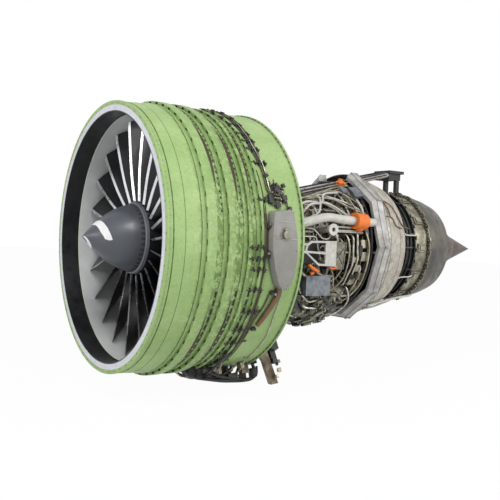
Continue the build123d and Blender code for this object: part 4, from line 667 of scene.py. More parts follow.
# Fittings behind and below the tank: listed ones, then a cluster at chance places
fit = [
    (1.400, SKIN_R, 18.6, (0.090, 0.050, 0.075), 0), (1.480, SKIN_R, 19.6, (0.060, 0.065, 0.055), 0),
    (1.545, SKIN_R, 18.0, (0.050, 0.045, 0.085), 0), (1.445, SKIN_R, 21.2, (0.055, 0.040, 0.040), 30),
    (1.345, SKIN_R, 17.8, (0.040, 0.050, 0.110), 0), (1.350, SKIN_R + 0.02, 27.5, (0.060, 0.030, 0.040), 20),
    (1.285, SKIN_R, 7.0, (0.045, 0.070, 0.050), 0), (1.280, SKIN_R, -4.0, (0.040, 0.060, 0.070), 0),
    (1.620, SKIN_R, 14.2, (0.035, 0.050, 0.050), 0), (1.610, SKIN_R, -17.0, (0.050, 0.050, 0.030), 0),
    (1.465, SKIN_R, -19.2, (0.100, 0.060, 0.040), 0), (1.350, SKIN_R, -36.0, (0.070, 0.050, 0.030), 0)]
cluster = np.random.default_rng(5)
for k in range(22):
    fit.append((cluster.uniform(1.36, 1.55), SKIN_R + cluster.uniform(0, 0.05), cluster.uniform(15.2, 24.5),
                cluster.uniform((0.02, 0.02, 0.02), (0.07, 0.05, 0.07)), cluster.choice([0, 25, -35])))
blocks_piece("tank_fittings", fit, CLAMP, 0.003)
nuts = [stud(x, SKIN_R + h, a, 0.030, 0.022) for x, h, a in (
    (1.400, 0.050, 19.3), (1.400, 0.050, 17.9), (1.480, 0.065, 19.6), (1.545, 0.045, 18.4),
    (1.545, 0.045, 17.4), (1.285, 0.070, 7.4), (1.280, 0.060, -3.4), (1.350, 0.050, 28.0),
    (1.465, 0.060, -19.2))]
TANK_R = SKIN_R + 0.124
nuts += [stud(x, TANK_R, a, 0.018, 0.006) for x, a in (
    (1.335, 11.0), (1.600, 12.0), (1.615, 5.0), (1.628, -2.0), (1.618, -9.0), (1.575, -15.0),
    (1.500, -16.3), (1.400, -11.5), (1.330, -6.0), (1.312, 3.0), (1.450, 12.6), (1.530, 12.8))]
for k in range(12):
    spot = (cluster.uniform(1.36, 1.55), SKIN_R + cluster.uniform(0.05, 0.08), cluster.uniform(15.5, 24.0))
    nuts.append(stud(*spot, 0.026, 0.02))
piece("tank_nuts", joined(nuts), PIPE_TAN, slot="bolt_steel")
straps = [winding([(1.330, TANK_R + 0.0022, a), (aft_x, TANK_R + 0.0022, a)], 0.004, 6)
          for aft_x, a in ((1.620, 8.4), (1.632, 2.2))]
piece("tank_straps", joined(straps), PIPE)

# Windows of the stiffener rings: dark bands set behind their webs as painted shade, and dark marks along the
# grooves as the painted shade of holes
bands = [turned([(x, low), (x, high)], 240) for x, low, high in (
    (0.4905, 1.727, 1.757), (0.7705, 1.721, 1.754), (1.0455, 1.713, 1.739), (1.2165, 1.713, 1.744))]
piece("window_shade", joined(bands), BLACK_STEEL)


def skin_r(x):
    """The front case's skin between the stiffener rings: straight slopes between its steps."""
    return np.interp(x, [0.404, 0.412, 0.630, 0.868, 0.908], [1.732, 1.722, 1.716, 1.716, 1.708])


def hole_shade_row(x, low_deg, high_deg, count, length, wide):
    """Painted shade of holes: dark marks flush with the case in an even row along an arc, as boxes."""
    r = max(skin_r(x - wide / 2), skin_r(x + wide / 2))
    return [(x, r + 0.0003, a, (wide, 0.0022, length)) for a in np.linspace(low_deg, high_deg, count)]


marks = []
for pair in ((0.612, 0.684), (0.892, 0.962), (1.090, 1.138)):
    for x, end_deg, count in zip(pair, (-50, -20), (11, 19)):
        marks += hole_shade_row(x, -88, end_deg, count, 0.074, 0.024) + hole_shade_row(x, 66, 118, 18, 0.070, 0.030)
        marks += hole_shade_row(x, 12, 62, 20, 0.030, 0.014) + hole_shade_row(x, 122, 262, 44, 0.05, 0.018)
blocks_piece("case_hole_shade", marks, BLACK_STEEL)


def shade_crescent(x, low_deg, high_deg, wide):
    """Painted shade: a dark crescent flush with the case, where a ring's recess lies in shadow. Its width
    swells from nothing to the full width at the middle of its arc, as a half wave of a sine, and it bows aft
    by another."""
    t = np.linspace(0, 1, 40)
    half = wide / 2 * np.sin(math.pi * t)[:, None] * np.array([-1, -0.33, 0.33, 1])
    bow = 0.012 * np.sin(math.pi * t)[:, None]
    spots = x + half + bow
    verts = polar(spots, skin_r(spots) + 0.0035, (low_deg + (high_deg - low_deg) * t)[:, None])
    return verts.reshape(-1, 3), grid_faces(40, 4)


# Painted shade in the rings' recesses, as dark crescents on the case
crescents = [shade_crescent(x, low, high, wide) for x, low, high, wide in (
    (0.918, 16, 60, 0.048), (1.100, 18, 62, 0.044), (0.640, 20, 60, 0.034), (0.918, 118, 160, 0.044),
    (1.100, 120, 162, 0.040), (0.918, -60, -22, 0.026), (0.640, -64, -30, 0.026))]
piece("case_slit_shade", joined(crescents), SLIT_SHADE)

# Pipes, hoses and boxes under the fan case
under = [[(0.84, 1.725, -70), (0.90, 1.79, -70), (1.02, 1.85, -71), (1.20, 1.885, -71), (1.45, 1.93, -71),
          (1.74, 1.95, -71), (1.93, 1.94, -71), (1.95, 1.84, -70), (1.90, 1.72, -69)],
         [(0.95, 1.73, -74), (1.03, 1.83, -74), (1.25, 1.87, -74), (1.50, 1.90, -74), (1.70, 1.90, -74),
          (1.76, 1.76, -73)],
         [(1.10, 1.73, -66), (1.14, 1.80, -66), (1.30, 1.86, -68), (1.55, 1.91, -70), (1.80, 1.94, -70),
          (1.97, 1.92, -70), (1.97, 1.78, -69)],
         [(1.30, 1.74, -70), (1.33, 1.84, -70), (1.44, 1.91, -71), (1.56, 1.87, -71), (1.60, 1.74, -70)],
         [(1.00, 1.73, -80), (1.06, 1.83, -79), (1.30, 1.865, -78), (1.60, 1.87, -78), (1.74, 1.78, -77)],
         [(0.90, 1.72, -72), (0.96, 1.80, -73), (1.16, 1.83, -73), (1.36, 1.86, -72), (1.52, 1.86, -72),
          (1.62, 1.74, -71)],
         [(1.20, 1.75, -52), (1.17, 1.80, -58), (1.17, 1.85, -80), (1.17, 1.83, -100), (1.20, 1.75, -112)],
         [(1.34, 1.84, -97), (1.10, 1.85, -99), (0.94, 1.81, -100), (0.90, 1.74, -100)]]
lines_piece("under_hoses", under, (.024, .018, .016, .015, .018, .016, .018, .013), BLACK_STEEL, 0.09)
under = [[(0.98, 1.73, -84), (1.02, 1.80, -84), (1.12, 1.845, -86), (1.26, 1.85, -88), (1.40, 1.85, -90)],
         [(1.50, 1.80, -62), (1.50, 1.83, -70), (1.47, 1.85, -79)],
         [(1.66, 1.75, -98), (1.62, 1.84, -98), (1.40, 1.86, -99), (1.22, 1.80, -103)],
         [(1.58, 1.74, -58), (1.58, 1.80, -60), (1.64, 1.84, -68), (1.64, 1.86, -76), (1.62, 1.74, -80)],
         [(1.30, 1.74, -62), (1.30, 1.80, -64), (1.24, 1.855, -72), (1.12, 1.84, -78), (1.06, 1.74, -82)]]
lines_piece("under_pipes", under, .011, PIPE_TAN, 0.08)
boxes = [
    (0.98, 1.72, -71, (0.10, 0.11, 0.10), 0), (1.10, 1.71, -72, (0.10, 0.15, 0.12), 0),
    (1.21, 1.72, -69, (0.06, 0.15, 0.08), 20), (1.33, 1.72, -73, (0.08, 0.15, 0.10), 0),
    (1.52, 1.72, -75, (0.12, 0.15, 0.10), 0), (1.60, 1.84, -71, (0.15, 0.09, 0.07), 0),
    (1.70, 1.72, -92, (0.08, 0.12, 0.18), 0), (1.33, 1.72, -110, (0.14, 0.09, 0.20), 0),
    (1.62, 1.72, -118, (0.12, 0.08, 0.16), 0), (1.91, 1.80, -70, (0.08, 0.12, 0.09), 0),
    (1.90, 1.70, -69, (0.10, 0.05, 0.11), 0), (1.76, 1.86, -71, (0.10, 0.07, 0.06), 25)]
blocks_piece("under_boxes", boxes, BLACK_STEEL, 0.004)
boxes = [
    (1.775, 1.70, -70, (0.11, 0.16, 0.09), 0), (1.45, 1.72, -73, (0.05, 0.12, 0.06), 0),
    (1.26, 1.72, -67, (0.05, 0.10, 0.06), 0), (1.03, 1.72, -76, (0.05, 0.12, 0.05), 0),
    (1.66, 1.72, -66, (0.06, 0.09, 0.08), 0)]
blocks_piece("under_boxes_tan", boxes, PIPE_TAN, 0.004)
boxes = [(2.04, 1.555, -58, (0.12, 0.12, 0.15)), (2.045, 1.60, -59, (0.075, 0.24, 0.06)),
         (2.10, 1.66, -60, (0.03, 0.20, 0.04), 12), (1.99, 1.62, -59, (0.025, 0.16, 0.09), -8)]
blocks_piece("mast_bracket", boxes, BLACK_STEEL, 0.004)
boxes = [(2.11, 1.90, -60, (0.05, 0.05, 0.05), 20), (2.07, 1.98, -61.5, (0.04, 0.04, 0.09)),
         (2.12, 1.80, -59, (0.035, 0.03, 0.08), 40)]
blocks_piece("mast_fittings", boxes, PIPE_TAN, 0.003)
UNIT_R = SKIN_R + 0.14
ribs = [(1.50, UNIT_R, -82.5, (0.05, 0.009, 0.12)), (1.68, UNIT_R, -83.0, (0.04, 0.009, 0.10)),
        (1.58, UNIT_R, -93.0, (0.20, 0.009, 0.03))]
blocks_piece("unit_ribs", ribs, BOLT)


# Core: rings and flanges of its cases. The compressor case tapers aft.
def flange(x, r, deep, wide):
    """A ring whose section is a box, with its top at radius r."""
    fore, aft = x - wide / 2, x + wide / 2
    return ring_solid([(fore, r - deep), (fore, r), (aft, r), (aft, r - deep)], 120)


TAPER_X, TAPER_R, TAPER = 2.4, 0.434, 0.0636
rings = [flange(x, TAPER_R - TAPER * (x - TAPER_X), 0.04, 0.014) for x in (2.36, 2.84, 2.92, 2.99, 3.04)]
rings += [flange(x, 0.566, 0.03, 0.016) for x in (3.30, 3.38, 3.44)]
piece("core_ribs", joined(rings), DULL)
bolts = [round_about(bolt_head(x, r, 0.020, 0.018, facing), evenly(n)) for x, r, n, facing in (
    (3.484, 0.560, 60, -1.0), (3.516, 0.560, 60, 1.0), (3.044, 0.385, 40, -1.0), (3.724, 0.645, 60, -1.0),
    (4.982, 0.862, 90, -1.0), (5.0145, 0.870, 90, 1.0), (4.708, 0.851, 90, 1.0))]
piece("core_bolts", joined(bolts), BOLT)


# Core: pipes in three layers, kept below the thrust links
LINK_X, LINK_Z = 2.85, 0.6253
LINK_CLIMB, LINK_LEAN = 0.3188, 0.182
LEAST_R = 0.40


def under_links(points, spare=0.03):
    """The corners, with each radius drawn in where the corner would stand above a plane that
    the near thrust link lies on, less a gap. The plane is at LINK_Z over the axis at LINK_X,
    and climbs aft and towards the near side. A corner that then coincides is left out."""
    kept = []
    for x, r, up_deg in points:
        a = math.radians(up_deg)
        steep = math.sin(a) - LINK_LEAN * math.cos(a)
        if steep > 0.2:
            r = min(r, max(LEAST_R, (LINK_Z + LINK_CLIMB * (x - LINK_X) - spare) / steep))
        if not kept or math.dist(kept[-1], (x, r, up_deg)) > 0.002:
            kept.append((x, r, up_deg))
    return kept


def axial_run(low_r, high_r, sector, start, end, jog):
    """A pipe along the engine that leaves the case, runs aft in steps of angle and goes back
    in: its first and last corners lie on the layer below."""
    a = chance.uniform(*sector)
    first, between = chance.uniform(*start, 1), chance.uniform(start[1], end[0], chance.integers(1, 4))
    x = np.sort(np.concatenate([first, between, chance.uniform(*end, 1)]))
    r = chance.uniform(*high_r)
    points = [(x[0], low_r, a), (x[0], r, a)]
    for k in range(1, len(x) - 1):
        points += [(x[k], r, a)]
        a = a + chance.uniform(*jog) * chance.choice([-1, 1])
        r = np.clip(r + chance.uniform(-0.03, 0.03), *high_r)
        points += [(x[k] + chance.uniform(0.02, 0.16), r, a)]
    return points + [(x[-1] + 0.16, r, a), (x[-1] + 0.16, low_r, a)]


def round_run(low_r, high_r, sector, span, length):
    """A pipe round the engine that leaves the case and goes back in."""
    a, x, r = chance.uniform(*sector), chance.uniform(*span), chance.uniform(*high_r)
    b, step = a + chance.uniform(*length), chance.uniform(-0.12, 0.12)
    c = a + (b - a) * chance.uniform(0.3, 0.7)
    return [(x, low_r, a), (x, r, a), (x, r, c), (x + step, r, c + 4), (x + step, r, b),
            (x + step, low_r, b)]


# The sector that the housing under the core leaves free, and the layers of pipes: each has a
# count, the radius its pipes leave, the radii they run at, the share of them that run aft
# and the pipes' own radii
FREE = (-68.0, 248.0)
layers = [
    ("inner", 44, 0.50, (0.585, 0.66), 0.45, DULL, (0.009, 0.020)),
    ("inner_bright", 26, 0.50, (0.60, 0.68), 0.45, PIPE_TAN, (0.007, 0.013)),
    ("middle", 30, 0.62, (0.72, 0.84), 0.6, PIPE, (0.008, 0.022)),
    ("middle_dark", 24, 0.60, (0.70, 0.82), 0.5, BLACK_STEEL, (0.010, 0.024)),
    ("outer", 13, 0.80, (0.90, 0.985), 0.5, PALE, (0.009, 0.016)),
]
for name, count, low_r, high_r, share, finish, thick in layers:
    runs = []
    for k in range(count):
        if chance.random() < share:
            run = axial_run(low_r, high_r, FREE, (2.24, 2.6), (3.0, 3.5), (6, 26))
        else:
            run = round_run(low_r, high_r, (-66.0, 190.0), (2.82, 3.6), (20, 58))
        runs.append(winding(under_links(run), chance.uniform(*thick), 8, 0.05))
    piece("core_pipes_" + name, joined(runs), finish)


def boxes_about(count, radius, span, size_low, size_high):
    """Boxes at chance places about the core, below the thrust links."""
    made = []
    for k in range(count):
        size = chance.uniform(size_low, size_high)
        spot = (chance.uniform(*span), chance.uniform(*radius), chance.uniform(*FREE))
        made.append((*under_links([spot], 0.13)[0], size, chance.choice([0, 0, 90, 20])))
    return made


boxes = boxes_about(34, (0.50, 0.66), (2.35, 3.62), (0.05, 0.05, 0.05), (0.16, 0.12, 0.16))
blocks_piece("core_boxes", boxes, CAST, 0.004)
boxes = boxes_about(30, (0.52, 0.76), (2.30, 3.64), (0.03, 0.04, 0.03), (0.11, 0.10, 0.12))
blocks_piece("core_boxes_dark", boxes, BLACK_STEEL, 0.003)
boxes = boxes_about(70, (0.62, 0.86), (2.30, 3.64), (0.02, 0.02, 0.02), (0.05, 0.06, 0.05))
blocks_piece("core_clips", boxes, BOLT, 0.002)
spots = [(chance.uniform(2.3, 3.6), chance.uniform(0.6, 0.84), chance.uniform(*FREE)) for k in range(120)]
spots = under_links(spots, 0.06)
knobs = [stud(*spot, chance.uniform(0.02, 0.05), 0.03) for spot in spots]
piece("core_fittings", joined(knobs), PIPE)


# The rounded housing under the core
HOUSING_X, HOUSING_LONG = 2.46, 1.06
HOUSING_DEG, HOUSING_ARC = -116, 74
HOUSING_R, HOUSING_DEEP = 0.84, 0.37


def housing_place(along, about, lift=0.0, lumps=0.0):
    """The (x, r, up) of a spot at shares of the housing's length and arc. The radius swells by
    half a sine wave both ways, each raised to a power under one so that the middle is full
    and the ends turn in steeply."""
    swell = np.sin(math.pi * along) ** 0.45 * np.sin(math.pi * about) ** 0.30
    r = HOUSING_R + (HOUSING_DEEP + lumps) * swell + lift
    return HOUSING_X + HOUSING_LONG * along, r, HOUSING_DEG + HOUSING_ARC * about


def housing_shell():
    """The housing's skin, uneven by a product of sine waves as a casting is."""
    along, about = np.linspace(0, 1, 48)[:, None], np.linspace(0, 1, 60)[None, :]
    lumps = 0.010 * np.sin(19 * along + 3 * about) * np.sin(23 * about)
    return polar(*housing_place(along, about, 0, lumps)).reshape(-1, 3), grid_faces(48, 60)


piece("lower_housing", housing_shell(), HOUSING)
rim = [housing_place(t, 0.62, 0.004) for t in np.linspace(0.06, 0.80, 9)]
lines_piece("housing_rim", [rim], .022, BLACK_STEEL, 0.06)
boxes = []
for k in range(54):
    spot = housing_place(chance.uniform(0.12, 0.88), chance.uniform(0.50, 0.97), -0.02)
    size = chance.uniform((0.03, 0.03, 0.03), (0.11, 0.07, 0.10))
    boxes.append((*spot, size, chance.choice([0, 25, -30, 60])))
blocks_piece("housing_units", boxes[1::2], CAST, 0.004)
blocks_piece("housing_units_dark", boxes[0::2], BLACK_STEEL, 0.003)
spots = [(chance.uniform(0.12, 0.88), chance.uniform(0.52, 0.97)) for k in range(60)]
studs = [stud(*housing_place(t, w, -0.005), chance.uniform(0.016, 0.036), 0.03) for t, w in spots]
piece("housing_studs", joined(studs), PIPE)

# Core: the lines that show most, laid one by one
upper = [
    [(2.30, .70, 30), (2.36, .98, 30), (2.55, 1.00, 36), (2.95, 1.00, 36), (3.15, .98, 30), (3.35, .95, 24),
     (3.35, .60, 24)],
    [(2.35, .70, 24), (2.45, 1.00, 26), (2.60, 1.04, 33), (2.80, 1.04, 33), (2.95, 1.00, 46),
     (3.30, 1.00, 50), (3.62, 1.00, 46), (3.66, .70, 46)],
    [(2.90, .60, 50), (2.90, .95, 50), (3.10, .97, 44), (3.40, .97, 38), (3.60, .97, 30), (3.66, .70, 30)],
    [(2.50, .60, 20), (2.50, 1.00, 21), (2.70, 1.04, 24), (2.82, 1.04, 40), (2.82, .90, 52),
     (2.82, .60, 52)],
    [(3.40, .60, 60), (3.40, 1.02, 58), (3.52, 1.02, 42), (3.58, 1.00, 28), (3.58, .70, 24)],
    [(2.26, .90, 12), (2.30, 1.06, 13), (2.48, 1.06, 18), (2.66, 1.05, 18), (2.66, .80, 18)],
]
lines_piece("upper_tubes_pale", [under_links(row) for row in upper], (.019, .016, .014, .015, .017, .022),
            PALE, 0.09)
upper = [
    [(2.32, .70, 38), (2.40, 1.00, 38), (2.62, 1.02, 42), (3.05, 1.02, 40), (3.30, 1.00, 34),
     (3.60, .98, 28), (3.66, .70, 28)],
    [(3.05, .60, 55), (3.05, 1.00, 55), (3.25, 1.02, 50), (3.50, 1.00, 40), (3.64, 1.00, 34),
     (3.64, .70, 34)],
    [(2.40, .60, 48), (2.40, .95, 48), (2.70, .98, 50), (2.85, .98, 38), (3.10, 1.00, 28), (3.20, .96, 22),
     (3.20, .60, 22)],
    [(3.30, .60, 58), (3.30, 1.00, 56), (3.38, 1.02, 40), (3.46, 1.00, 24), (3.46, .60, 24)],
    [(2.36, .60, 55), (2.36, .90, 55), (2.90, .95, 58), (3.35, 1.00, 62), (3.62, 1.02, 62), (3.66, .70, 62)],
    [(2.60, .60, 30), (2.60, .96, 30), (2.74, .98, 28), (2.90, .98, 20), (3.06, .96, 20), (3.06, .60, 20)],
    [(2.24, .80, 22), (2.34, 1.02, 22), (2.52, 1.02, 28), (2.52, .98, 44), (2.60, .90, 56), (2.60, .60, 56)],
]
lines_piece("upper_tubes_tan", [under_links(row) for row in upper],
            (.013, .012, .015, .012, .014, .010, .012), PIPE_TAN, 0.08)
side = [
    [(3.08, .60, 6), (3.08, .98, 6), (3.14, 1.00, -4), (3.14, 1.00, -20), (3.06, 1.00, -30),
     (3.06, .70, -30)],
    [(3.20, .60, 10), (3.20, .97, 10), (3.24, .99, -2), (3.24, .99, -28), (3.16, .99, -38),
     (3.02, .97, -44), (3.02, .60, -44)],
    [(2.94, .70, -18), (2.94, .99, -18), (3.02, 1.01, -26), (3.10, 1.01, -36), (3.30, .99, -44),
     (3.50, .97, -50), (3.50, .60, -50)],
    [(2.60, .80, -18), (2.60, 1.06, -19), (2.74, 1.07, -23), (2.98, 1.05, -24), (3.06, .90, -24)],
    [(3.55, .70, 14), (3.55, .98, 14), (3.60, 1.00, 0), (3.60, 1.00, -34), (3.52, 1.00, -52),
     (3.30, 1.02, -62)],
    [(2.24, .90, -12), (2.30, 1.06, -12), (2.36, 1.08, -20), (2.50, 1.08, -24), (2.50, .80, -24)],
]
lines_piece("side_tubes", side, (.013, .012, .014, .017, .013, .018), PIPE_TAN, 0.07)
low = [
    [(2.26, .80, -28), (2.30, 1.05, -30), (2.42, 1.10, -42), (2.60, 1.10, -54), (2.90, 1.10, -62),
     (3.20, 1.12, -64), (3.45, 1.00, -66), (3.45, .60, -66)],
    [(2.24, .90, -50), (2.30, 1.12, -52), (2.40, 1.14, -66), (2.60, 1.16, -78), (2.84, 1.14, -80),
     (2.84, .90, -80)],
    [(2.28, .80, -36), (2.36, 1.04, -38), (2.44, 1.10, -50), (2.56, 1.12, -70), (2.60, 1.10, -96),
     (2.60, .90, -110)],
    [(2.90, 1.10, -40), (3.05, 1.13, -46), (3.22, 1.12, -54), (3.50, 1.06, -58), (3.66, 1.00, -62),
     (3.66, .70, -62)],
]
lines_piece("low_hoses", low, (.030, .024, .020, .026), BLACK_STEEL, 0.12)
low = [
    [(2.34, .70, -26), (2.34, 1.06, -27), (2.46, 1.12, -36), (2.70, 1.12, -46), (2.96, 1.06, -46),
     (2.96, .80, -46)],
    [(2.44, .80, -60), (2.44, 1.12, -60), (2.60, 1.14, -62), (2.80, 1.12, -70), (3.10, 1.12, -70),
     (3.40, 1.14, -76)],
    [(3.20, .60, -48), (3.20, 1.02, -48), (3.36, 1.06, -54), (3.36, 1.08, -66), (3.30, 1.20, -74)],
    [(2.66, .90, -50), (2.66, 1.14, -51), (2.92, 1.14, -52), (3.10, 1.08, -58), (3.10, .80, -58)],
    [(2.28, .80, -58), (2.28, 1.10, -59), (2.36, 1.14, -72), (2.36, 1.10, -88), (2.44, .98, -100)],
    [(3.45, .60, -40), (3.45, 1.00, -41), (3.56, 1.04, -52), (3.56, 1.08, -70), (3.50, 1.10, -84),
     (3.50, .70, -96)],
]
lines_piece("low_tubes", low, (.014, .016, .013, .012, .014, .015), PIPE, 0.09)

# Hoops and boxes in front of the silver ring. Each hoop is laid on the near side and, mirrored,
# on the far one.
rows = [(3.660, 0.985, -100, 60, .017), (3.625, 0.940, -78, 44, .013), (3.655, 0.890, -110, 72, .020),
        (3.600, 0.860, -70, 30, .012), (3.635, 0.800, -90, 66, .024), (3.560, 0.900, -58, 10, .011),
        (3.590, 0.750, -110, 70, .018), (3.675, 0.940, -60, 50, .010)]
hoops = []
for x, r, low_deg, high_deg, thick in rows:
    hoops += [hoop(x, r, thick, low_deg, high_deg), hoop(x, r, thick, 180 - high_deg, 180 - low_deg)]
piece("front_hoops_dark", joined(hoops[0::3]), BLACK_STEEL)
piece("front_hoops_olive", joined(hoops[1::3]), DULL)
piece("front_hoops_pale", joined(hoops[2::3]), PIPE_TAN)
web = turned([(3.700, 0.668), (3.690, 0.80), (3.672, 0.90), (3.640, 1.0)], 160, -250, 320)
piece("seal_web", web, CAST)
parts = [
    (3.53, .86, 2, (.10, .10, .12), 0), (3.56, .86, -9, (.13, .11, .13), 0),
    (3.50, .84, -20, (.10, .10, .10), 0), (3.58, .88, -27, (.10, .09, .12), 0),
    (3.48, .86, -34, (.12, .08, .10), 15), (3.60, .88, -40, (.08, .10, .10), 0),
    (3.46, .84, 20, (.10, .10, .10), 0), (3.60, .86, 26, (.09, .12, .14), 0),
    (3.40, .86, -12, (.07, .10, .08), 0)]
blocks_piece("front_boxes", parts, PIPE_TAN, 0.005)
parts = [
    (3.46, .90, -4, (.06, .08, .16), 0), (3.60, .93, -18, (.05, .05, .14), 0),
    (3.42, .86, -28, (.08, .10, .08), 0), (3.58, .92, 12, (.07, .06, .10), 0),
    (3.36, .84, 30, (.10, .10, .08), 0), (3.66, .90, -50, (.05, .09, .20), 0),
    (3.64, .92, 38, (.05, .09, .12), 0)]
blocks_piece("front_boxes_dark", parts, BLACK_STEEL, 0.004)
boxes = [(3.54, 1.03, 47, (.17, .05, .20), 8), (3.36, 1.01, 50, (.10, .04, .12))]
blocks_piece("upper_box_blue", boxes, COOLER, 0.006)

# The panel beside the white frame, with raised cross ribs, and what stands behind the frame's windows
PANEL_X, PANEL_DEG, PANEL_R, PANEL_THICK = 3.02, -8, .99, .032
RIB = (PANEL_X, PANEL_R + PANEL_THICK, PANEL_DEG)
boxes = [(PANEL_X, PANEL_R, PANEL_DEG, (.24, PANEL_THICK, .38))]
boxes += [(*RIB, (.012, .012, .30), turn) for turn in (38, -38)] + [(*RIB, (.20, .010, .012))]
boxes += [(PANEL_X + dx, *RIB[1:], (.010, .012, .36)) for dx in (-.105, .105)]
blocks_piece("ribbed_panel", boxes, CAST, 0.002)
# Painted shade: a dark sheet behind the frame's windows, where the pipes there lie in shadow
blocks_piece("frame_window_shade", [(2.56, .925, -6, (.34, .02, .30))], BLACK_STEEL)
soft = [winding([(2.46, 1.10, -14), (2.52, 1.12, -16.5), (2.62, 1.12, -18.5)], .022, 10, 0.05),
        winding([(2.80, 1.11, -15), (2.86, 1.125, -16.5), (2.93, 1.11, -15)], .018, 10, 0.05),
        winding([(3.36, 1.03, 62), (3.46, 1.06, 63), (3.52, 1.03, 60)], .022, 10, 0.05),
        block(3.40, 1.02, 59, (.06, .05, .05), 20), block(2.54, 1.08, -20, (.05, .04, .04), 30),
        block(3.50, 1.03, 66, (.07, .04, .04)), block(2.70, 1.06, -25, (.06, .03, .03), 10)]
piece("orange_caps", joined(soft), ORANGE)
lines_piece("sleeve_lobe", [[(3.36, .985, 18.8), (3.40, 1.00, 16.5), (3.46, .985, 14.5)]], .062, ORANGE,
            0.05, 14)

# Rails and lines along the thrust links
for tag, mirror in (("near", (1, -1, 1)), ("far", (1, 1, 1))):
    ends = np.array([(2.205, .330, .569), (4.70, .115, 1.137)])
    rails = []
    for lift, thick in (((0, .012, .048), .013), ((0, .050, .010), .009)):
        rails.append(pipe(np.linspace(*(ends + lift), 6) * mirror, thick))
    piece("link_rails_" + tag, joined(rails), BLACK_STEEL)
    spots = (np.linspace(*ends, 12) * mirror)[1:-1]
    bands = [pipe(np.array([c - (.018, 0, .004), c + (.018, 0, .004)]), .0405, 14) for c in spots]
    piece("link_bands_" + tag, joined(bands), PIPE_TAN)

# Silver ring: beads on its edges, clamps at its corners and bolts
SIDES = 10
corner_deg = 108.0 + 36.0 * np.arange(SIDES)
reach = 1 / math.cos(math.pi / SIDES)
beads = [pipe(polar(x, r * reach, corner_deg), thick, 6)
         for x, r, thick in ((3.712, 1.045, .006), (3.758, 1.1025, .005), (3.871, 1.102, .006))]
piece("ring_beads", joined(beads), BOLT)
CLAMP_R, CLAMP_THICK = 1.1035, .010
clamps = [(3.816, CLAMP_R * reach, a, (.115, CLAMP_THICK, .030)) for a in corner_deg[1:-1]]
blocks_piece("ring_clamps", clamps, RING, 0.002)
head_r = (CLAMP_R + CLAMP_THICK) * reach
heads = [stud(x, head_r, a, .018, .010) for a in corner_deg[1:-1] for x in (3.78, 3.85)]
piece("ring_bolts", joined(heads), BOLT)


# Cowl, turbine band and exhaust
def cowl_r(x):
    """The cowl's outer radius at x: straight between the radii of its stations."""
    return np.interp(x, [3.88, 3.94, 4.32, 4.35], [1.1, 1.098, .989, .973])


seams = []
for x in (3.935, 4.20):
    seams.append(turned([(x + dx, cowl_r(x + dx) + .0006) for dx in (-.004, .004)], 160, -250, 320))
piece("cowl_seams", joined(seams), BLACK_STEEL)
rivets = []
for x in (3.92, 3.955, 4.18, 4.305):
    rivets.append(round_about(stud(x, cowl_r(x) - .002, 0, .010, .005), np.arange(-105, 285, 3.0)))
piece("cowl_rivets", joined(rivets), COWL)
rows = [[(3.90, 1.110, 38), (3.98, 1.098, 38), (4.12, 1.060, 36), (4.20, 1.036, 28), (4.26, 1.018, 20),
         (4.34, .990, 18), (4.50, .93, 18)],
        [(3.90, 1.110, 24), (4.04, 1.080, 24), (4.10, 1.062, 17), (4.24, 1.026, 16)],
        [(3.94, 1.105, 38), (3.99, 1.096, 30), (3.99, 1.096, 24)]]
lines_piece("cowl_lines", rows, .008, BROWN, 0.05)
rows = [[(3.90, 1.115, -52), (4.10, 1.085, -52), (4.40, 1.01, -54), (4.70, .95, -56), (4.98, .92, -57),
         (5.04, .89, -57)],
        [(3.90, 1.115, -58), (4.15, 1.075, -59), (4.42, 1.00, -62), (4.68, .93, -64), (4.68, .86, -64)],
        [(4.34, .99, 12), (4.42, .905, 12), (4.66, .915, 12), (4.70, .89, 12)],
        [(4.36, .95, -30), (4.46, .905, -30), (4.66, .92, -29), (4.72, .88, -29)],
        [(3.90, 1.115, 232), (4.10, 1.085, 232), (4.40, 1.01, 234), (4.70, .95, 236), (4.98, .92, 237),
         (5.04, .89, 237)],
        [(4.34, .99, 150), (4.42, .905, 150), (4.66, .915, 150), (4.70, .89, 150)]]
lines_piece("turbine_lines", rows, (.018, .014, .012, .010, .018, .012), PALE, 0.08)
rows = [[(4.37, .86, -80), (4.37, .89, -78), (4.37, .90, 60)],
        [(4.66, .86, -100), (4.66, .875, -98), (4.66, .875, 70)]]
lines_piece("band_lines", rows, (.010, .009), BLACK_STEEL, 0.04)
tabs = []
for x, r, size, count, first in (
        (4.699, .868, (.020, .022, .050), 30, 2), (4.990, .879, (.024, .018, .060), 26, 5),
        (5.006, .872, (.012, .012, .03), 52, 0), (4.690, .852, (.036, .012, .03), 60, 1)):
    tabs += [(x, r, -a, size) for a in evenly(count, first)]
blocks_piece("flange_tabs", tabs, CREAM, 0.002)
clips = [(x, .80 + (x - 4.30) * .165, -a, (long, .042, .016))
         for x, long, first in ((4.445, .10, 4), (4.590, .09, 22)) for a in evenly(10, first)]
blocks_piece("band_clips", clips, BLACK_STEEL, 0.002)
BOSS_X, BOSS_R, BOSS_THICK = 4.84, .838, .018
bosses = [(BOSS_X, BOSS_R, a, (.16, BOSS_THICK, .13)) for a in evenly(12)]
bosses += [(BOSS_X, BOSS_R + BOSS_THICK, a, (.09, .012, .07)) for a in evenly(12)]
blocks_piece("strut_bosses", bosses, CREAM, 0.004)
heads = [stud(BOSS_X + dx, BOSS_R + BOSS_THICK, a + turn, .016, .012)
         for a in evenly(12) for dx in (-.06, .06) for turn in (-3.4, 3.4)]
piece("boss_bolts", joined(heads), BOLT)
sleeve_x = [5.0, 5.018, 5.16, 5.38, 5.56]
sleeve_r = [.876, .852, .846, .800, .745]
rivets = []
